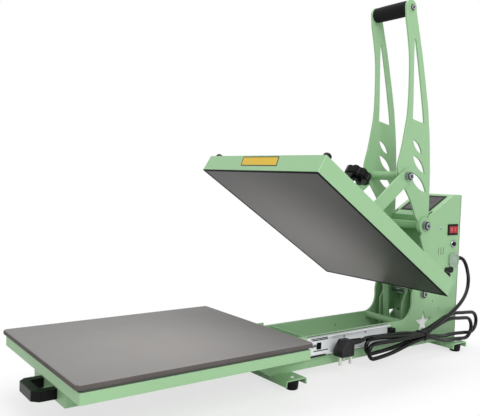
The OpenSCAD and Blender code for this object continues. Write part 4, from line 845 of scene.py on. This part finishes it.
# %% Painted shadow ring round the hot plate
only(None)
gap_shade_middle, gap_shade_wide, gap_shade_deep = (cover_front + cover_back) / 2, 421.0, cover_back - cover_front - 0.4
bpy.ops.mesh.primitive_plane_add(size=1, location=Vector((0, gap_shade_middle, under_z - 0.1)) * MM)
plate_gap_shade = bpy.context.object
plate_gap_shade.scale = Vector((gap_shade_wide, gap_shade_deep, 1)) * MM
settle("plate_gap_shade")
pick(plate_gap_shade, lambda middle, way: True)
bpy.ops.mesh.inset(thickness=6 * MM)
bpy.ops.mesh.delete(type="FACE")
only(plate_gap_shade)
gap_shade_sheet = plate_gap_shade.modifiers.new("thickness", "SOLIDIFY")
gap_shade_sheet.thickness, gap_shade_sheet.offset = 0.4 * MM, 0
bpy.ops.object.modifier_apply(modifier=gap_shade_sheet.name)
finish_piece(plate_gap_shade, slot_dark, "upper_platen", "black_rubber", turn=on_arm)

# %% [markdown]
# ## Screws
# Round-head screws hold the rear cover, the slides, the rails and the side plate. One function models
# a domed head with a recess for the driver, standing on any face, and what the right side has is
# mirrored to the left.

# %% Screw heads
def screw_head(name, place, normal, radius, height):
    """A domed head with a recess for the driver, standing on a face."""
    place, normal = Vector(place), Vector(normal).normalized()
    head = new_bar(name, (radius, radius * 0.72), place, place + normal * height, 24)
    sink(head, lambda middle, way: way.dot(normal) > 0.95, radius * 0.3, height * 0.6)
    round_edges(head, radius * 0.08, 1, 25)
    return head


low_head, high_head, recess_shade_share = 1.2, 2.2, 0.36
screws = [("cover_screw_%d_right" % i, (52, rear_y, z), (0, 1, 0), 4.0, high_head)
    for i, z in enumerate((40, 230, 420))]
screws += [("slide_screw_%d_right" % i, (67.5, y, z), (1, 0, 0), 3.2, low_head)
    for i, (y, z) in enumerate(((130, 88), (206, 88), (214, 70)))]
screws += [("rail_screw_right", (61, 228, 76), (-1, 0, 0), 3.0, high_head),
    ("plate_screw", (66, 498.2, 344.3), (1, 0, 0), 4.6, high_head)]
for name, place, normal, radius, height in screws:
    head = finish_piece(screw_head(name, place, normal, radius, height), bolt_chrome, "base", "chrome")
    axis, out = Vector(place), Vector(normal)

    def in_shaded_recess(middle, way):
        return way.dot(out) > 0.9 and (middle - axis).cross(out).length < radius * recess_shade_share

    # The recess is painted near-black, as the shade inside it
    darken(head, slot_dark, in_shaded_recess)
    if "right" in name:
        mirror_copy(head, name.replace("right", "left"), "base")

# %% Nuts on the big bolts
# Each part: its name, share of the bolt's radius, start, end, sides, rounding and material.
bolt_parts = (("washer", 0.9, 0, 0.6, 32, 0.2, slot_dark), ("nut", 0.78, 0.4, 3, 6, 0.7, bolt_chrome),
    ("thread", 0.38, 2.8, 4, 20, 0.3, threaded_steel))


def bolt_end(name, place, radius, body):
    """On the right, and mirrored on the left: a dark washer, a six-sided nut and the thread's end."""
    place, out = Vector(place), Vector((1, 0, 0))
    for part, share, start, end, sides, soft, material in bolt_parts:
        piece = new_bar("%s_%s_right" % (name, part), (radius * share,) * 2, place + out * start,
            place + out * end, sides)
        round_edges(piece, soft, 2)
        finish_piece(piece, material, body, "chrome")
        mirror_copy(piece, piece.name.replace("right", "left"), body)


bolt_end("link_bolt", (76.3, 343.5, 484), 12, "lever")
bolt_end("lever_bolt", (76, 425.5, 352), 13, "base")
bolt_end("hinge_bolt", (73, hinge_y, hinge_z), 12, "base")
bolt_end("grip_bolt", (64, grip_y, grip_z), 9, "lever")

# %% [markdown]
# ## The sloping display
# The display's glass lies on a slope, so its window and its keys are modelled lying level and are put
# in place by a matrix too. The switch is marked with a bar and a ring, for on and off, and a strip
# of painted shade runs up each side where the rear cover meets the side plate.

# %% Display, switch marks and painted shade at the seams
panel_rise, panel_run, panel_y, panel_z, panel_half = 58, 108, 444.5, 379, 66
box_slope = math.atan2(panel_rise, panel_run)
glass_middle = Vector((0, panel_y + panel_half * math.cos(box_slope),
    panel_z + panel_half * math.sin(box_slope)))
on_slope = Matrix.Translation(glass_middle * MM) @ Matrix.Rotation(box_slope, 4, "X")
glass_top, key_row = 1.0, -20
window = new_block("display_window", (-32, 4, glass_top), (32, 32, glass_top + 0.4))
round_corners(window, 2, 2)
sink(window, lambda middle, normal: normal.z > 0.9, 1.6, 0.25)
finish_piece(window, display_window, "base", "dark_glass", turn=on_slope)
for i, x in enumerate((-27, -9, 9, 27)):
    key = new_bar("display_key_%d" % i, (6, 5.4), (x, key_row, glass_top), (x, key_row, glass_top + 1), 28)
    sink(key, lambda middle, normal: normal.z > 0.9, 1.4, 0.3)
    round_edges(key, 0.3, 2)
    finish_piece(key, button_grey, "base", "black_plastic", turn=on_slope)

rocker_half = 15.5
rocker_face = Matrix.Translation(Vector((68, 551.5, 338.5)) * MM)
for name, y, rise in (("mark_on", 7, 4), ("mark_off", -7, -1)):
    turned = rocker_face @ Matrix.Rotation(-math.atan2(rise, rocker_half), 4, "Z")
    if y > 0:
        mark = new_block(name, (-0.1, y - 0.7, -5), (0.15, y + 0.7, 5))
    else:
        only(None)
        bpy.ops.mesh.primitive_torus_add(major_radius=3.4 * MM, minor_radius=0.5 * MM, major_segments=28,
            minor_segments=6, location=(0, y * MM, 0), rotation=(0, math.pi / 2, 0))
        mark = settle(name)
    finish_piece(mark, mark_pale, "rocker", "relay_plastic", turn=turned)

# A thin strip painted in dark green shade where the rear cover meets the side plate
shade_strip = new_block("rear_seam_right", (65.85, 584.2, 26.5), (66.25, 586.2, 434))
round_edges(shade_strip, 0.1, 1)
finish_piece(shade_strip, seam_shade, "base", "mint_inner")
mirror_copy(shade_strip, "rear_seam_left", "base")

# %% [markdown]
# ## The ends of the slides
# Where the drawer has pulled the slides apart, their ends show: punched slots along the web, a latch
# with a square eye and its spring, and a rubber stop with a sunk middle. They are thin pieces seated
# on the webs.

# %% Slide ends
web_x, retainer_x = 70.5, 77.6


def soft_plate(name, low, high, corner, depth=0):
    """A thin plate on a web, its four corners rounded and, with a depth, its middle sunk."""
    plate = new_block(name, low, high)
    round_corners(plate, 0, corner)
    if depth:
        sink(plate, lambda middle, normal: normal.x > 0.9, 1.5 * corner, depth)
    return plate


spring_bends = (14, 22, 30)
latch_spring = new_block("latch_spring_right", (web_x, 6, 73), (web_x + 0.9, 36, 79))
for y in spring_bends:
    slice_at(latch_spring, (0, y, 0), (0, 1, 0))


def at_outer_bend(middle, way):
    return abs(way.y) < 0.1 and min(abs(middle.y - spring_bends[0]), abs(middle.y - spring_bends[2])) < 1


pick(latch_spring, at_outer_bend, "EDGE")
bpy.ops.transform.translate(value=(0, 0, 2.5 * MM))
round_edges(latch_spring, 0.2, 1)
slide_latch = soft_plate("slide_latch_right", (web_x, 36, 68), (web_x + 1, 50, 84), 1.6, 0.5)
slide_pieces = [(latch_spring, spring_steel, "zinc"), (slide_latch, black_plastic, "black_plastic")]
# The punched slots are dark plates on the web: painted shade where the slots open
for name, z, low, high in (("upper", 90.3, 22, 72), ("lower", 64.5, 26, 74)):
    slot = soft_plate("slide_slot_%s_right" % name, (web_x, low, z - 1.1), (web_x + 0.35, high, z + 1.1), 1)
    slide_pieces.append((slot, slot_dark, "black_plastic"))
# Dark strips in the gaps above and below the middle member: the retainers' black ends and painted shade in
# the gap
for name, z, low, high in (("upper", 96.4, 12, 64), ("lower", 55.6, 4, 60)):
    end_and_shade_strip = soft_plate("retainer_end_%s_right" % name, (web_x, low, z - 1), (retainer_x, high, z + 1), 0.7)
    slide_pieces.append((end_and_shade_strip, slot_dark, "black_plastic"))
for piece, material, slot_name in slide_pieces:
    finish_piece(piece, material, "mid_slides", slot_name)
    mirror_copy(piece, piece.name.replace("right", "left"), "mid_slides")
# Thin dark lines painted as the shadow in the gaps between the outer slide and the plate above and the rail
# below
for name, x, z in (("upper", 66, 99.6), ("lower", 77, 53.7)):
    shade_strip = soft_plate("slide_seam_%s_right" % name, (x, -139, z - 0.6), (x + 0.25, 288, z + 0.6), 0.4)
    finish_piece(shade_strip, slot_dark, "base", "black_plastic")
    mirror_copy(shade_strip, "slide_seam_%s_left" % name, "base")

# %% Rubber stops
rubber_stop = soft_plate("rubber_stop_right", (66, 289.8, 63), (78, 309.8, 89), 4, 3)
round_edges(rubber_stop, 0.8, 2)
finish_piece(rubber_stop, black_rubber, "base", "black_rubber", "slide_stops")
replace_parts(mirror_copy(rubber_stop, "rubber_stop_left", "base"), "slide_stops")

# %% [markdown]
# ## Small trims
# A moulded cap, the knob's insert and the pale sheet behind the star make the machine read as a real
# product. Each is a primitive, the cap and the insert with one or two insets.

# %% Side cap and knob insert
cap_out = 72
cap_shell = new_block("cap_shell", (66, 539.5, 233), (cap_out, 581.5, 271))
round_corners(cap_shell, 0, 12, 8)
sink(cap_shell, lambda middle, normal: normal.x > 0.9, 5, 2.2)
sink(cap_shell, lambda middle, normal: normal.x > 0.9 and middle.x < cap_out - 1, 4, -1.2)
round_edges(cap_shell, 1.4, 3, 40)
finish_piece(cap_shell, cap_plastic, "base", "grey_plastic", "side_cap")

spindle_y, knob_low, knob_half = -344.2, 143, 24
knob_top = knob_low + knob_half
knob_insert = new_bar("knob_insert", (15, 13), (0, spindle_y, knob_top - 1),
    (0, spindle_y, knob_top + 1.6), 40)
sink(knob_insert, lambda middle, normal: normal.z > 0.9, 3, 1)
round_edges(knob_insert, 0.5, 2)
finish_piece(knob_insert, black_plastic, "knob", "black_plastic", turn=on_arm)

star_backing = new_block("star_backing", (60.2, 398, 44), (60.9, 481, 126))
round_corners(star_backing, 0, 6)
finish_piece(star_backing, backing_white, "base", "relay_plastic")

# %% [markdown]
# ## Stage and light
# The press stands on a white floor under soft light. The floor is partly self-lit for the camera,
# so it stays white and still takes the machine's shadow.

# %% Floor
press_half = (0.19, 0.58, 0)


def white_floor():
    """White for the camera everywhere but close to the press, where the floor takes its shadow."""
    bpy.ops.mesh.primitive_plane_add(size=12, location=(0, 0, 0))
    floor = bpy.context.object
    floor.name = "studio_floor"
    material, tree, shader = new_material("studio_white", roughness=0.9)
    shader.inputs["Base Color"].default_value = (0.86, 0.86, 0.86, 1)
    glow = add_node(tree, "ShaderNodeEmission", "white for the camera")
    path = add_node(tree, "ShaderNodeLightPath")
    mix = add_node(tree, "ShaderNodeMixShader", "paper")
    place = add_node(tree, "ShaderNodeTexCoord")
    last = place.outputs["Object"]
    for operation, value in (("ABSOLUTE", None), ("SUBTRACT", press_half), ("MAXIMUM", (0, 0, 0))):
        step = add_node(tree, "ShaderNodeVectorMath", "outside the press", operation=operation)
        tree.links.new(last, step.inputs[0])
        if value:
            step.inputs[1].default_value = value
        last = step.outputs[0]
    reach = add_node(tree, "ShaderNodeVectorMath", "distance", operation="LENGTH")
    fade = add_node(tree, "ShaderNodeMapRange", "less shadow further out", interpolation_type="SMOOTHSTEP")
    for label, value in (("From Min", 0.0), ("From Max", 0.16), ("To Min", 0.7), ("To Max", 1.0)):
        fade.inputs[label].default_value = value
    tree.links.new(last, reach.inputs[0])
    tree.links.new(reach.outputs["Value"], fade.inputs["Value"])
    share = math_node(tree, "MULTIPLY", path.outputs["Is Camera Ray"], fade.outputs["Result"])
    output = tree.nodes["Material Output"]
    tree.links.new(share, mix.inputs[0])
    tree.links.new(shader.outputs[0], mix.inputs[1])
    tree.links.new(glow.outputs[0], mix.inputs[2])
    tree.links.new(mix.outputs[0], output.inputs["Surface"])
    dress(floor, material)


white_floor()


# %% World and lamps
def soft_world(light_level):
    """White behind the object and in its reflections, and an even light from all round."""
    world = bpy.data.worlds.new("studio_world")
    world.use_nodes = True
    tree = world.node_tree
    sky = tree.nodes["Background"]
    sky.inputs["Color"].default_value = (1, 1, 1, 1)
    path = add_node(tree, "ShaderNodeLightPath")
    seen = math_node(tree, "MAXIMUM", path.outputs["Is Camera Ray"], path.outputs["Is Glossy Ray"])
    seen = math_node(tree, "MAXIMUM", seen, path.outputs["Is Transmission Ray"])
    level = add_node(tree, "ShaderNodeMapRange", "light level")
    level.inputs["To Min"].default_value = light_level
    level.inputs["To Max"].default_value = 1.0
    tree.links.new(seen, level.inputs["Value"])
    tree.links.new(level.outputs["Result"], sky.inputs["Strength"])
    bpy.context.scene.world = world


def area_lamp(name, place, target, size, watts):
    data = bpy.data.lights.new(name, "AREA")
    data.shape = "RECTANGLE"
    data.size, data.size_y = size
    data.energy = watts
    lamp = bpy.data.objects.new(name, data)
    place, target = Vector(place), Vector(target)
    lamp.location = place
    lamp.rotation_euler = (place - target).to_track_quat("Z", "Y").to_euler()
    bpy.context.scene.collection.objects.link(lamp)


soft_world(0.55)
area_lamp("key_lamp", (2.9, -1.1, 2.3), (0, 0, 0.3), (1.8, 1.8), 62)
area_lamp("top_lamp", (-0.4, 0.4, 3.2), (0, 0, 0.2), (2.6, 2.6), 45)
bpy.context.scene.view_settings.view_transform = "Standard"
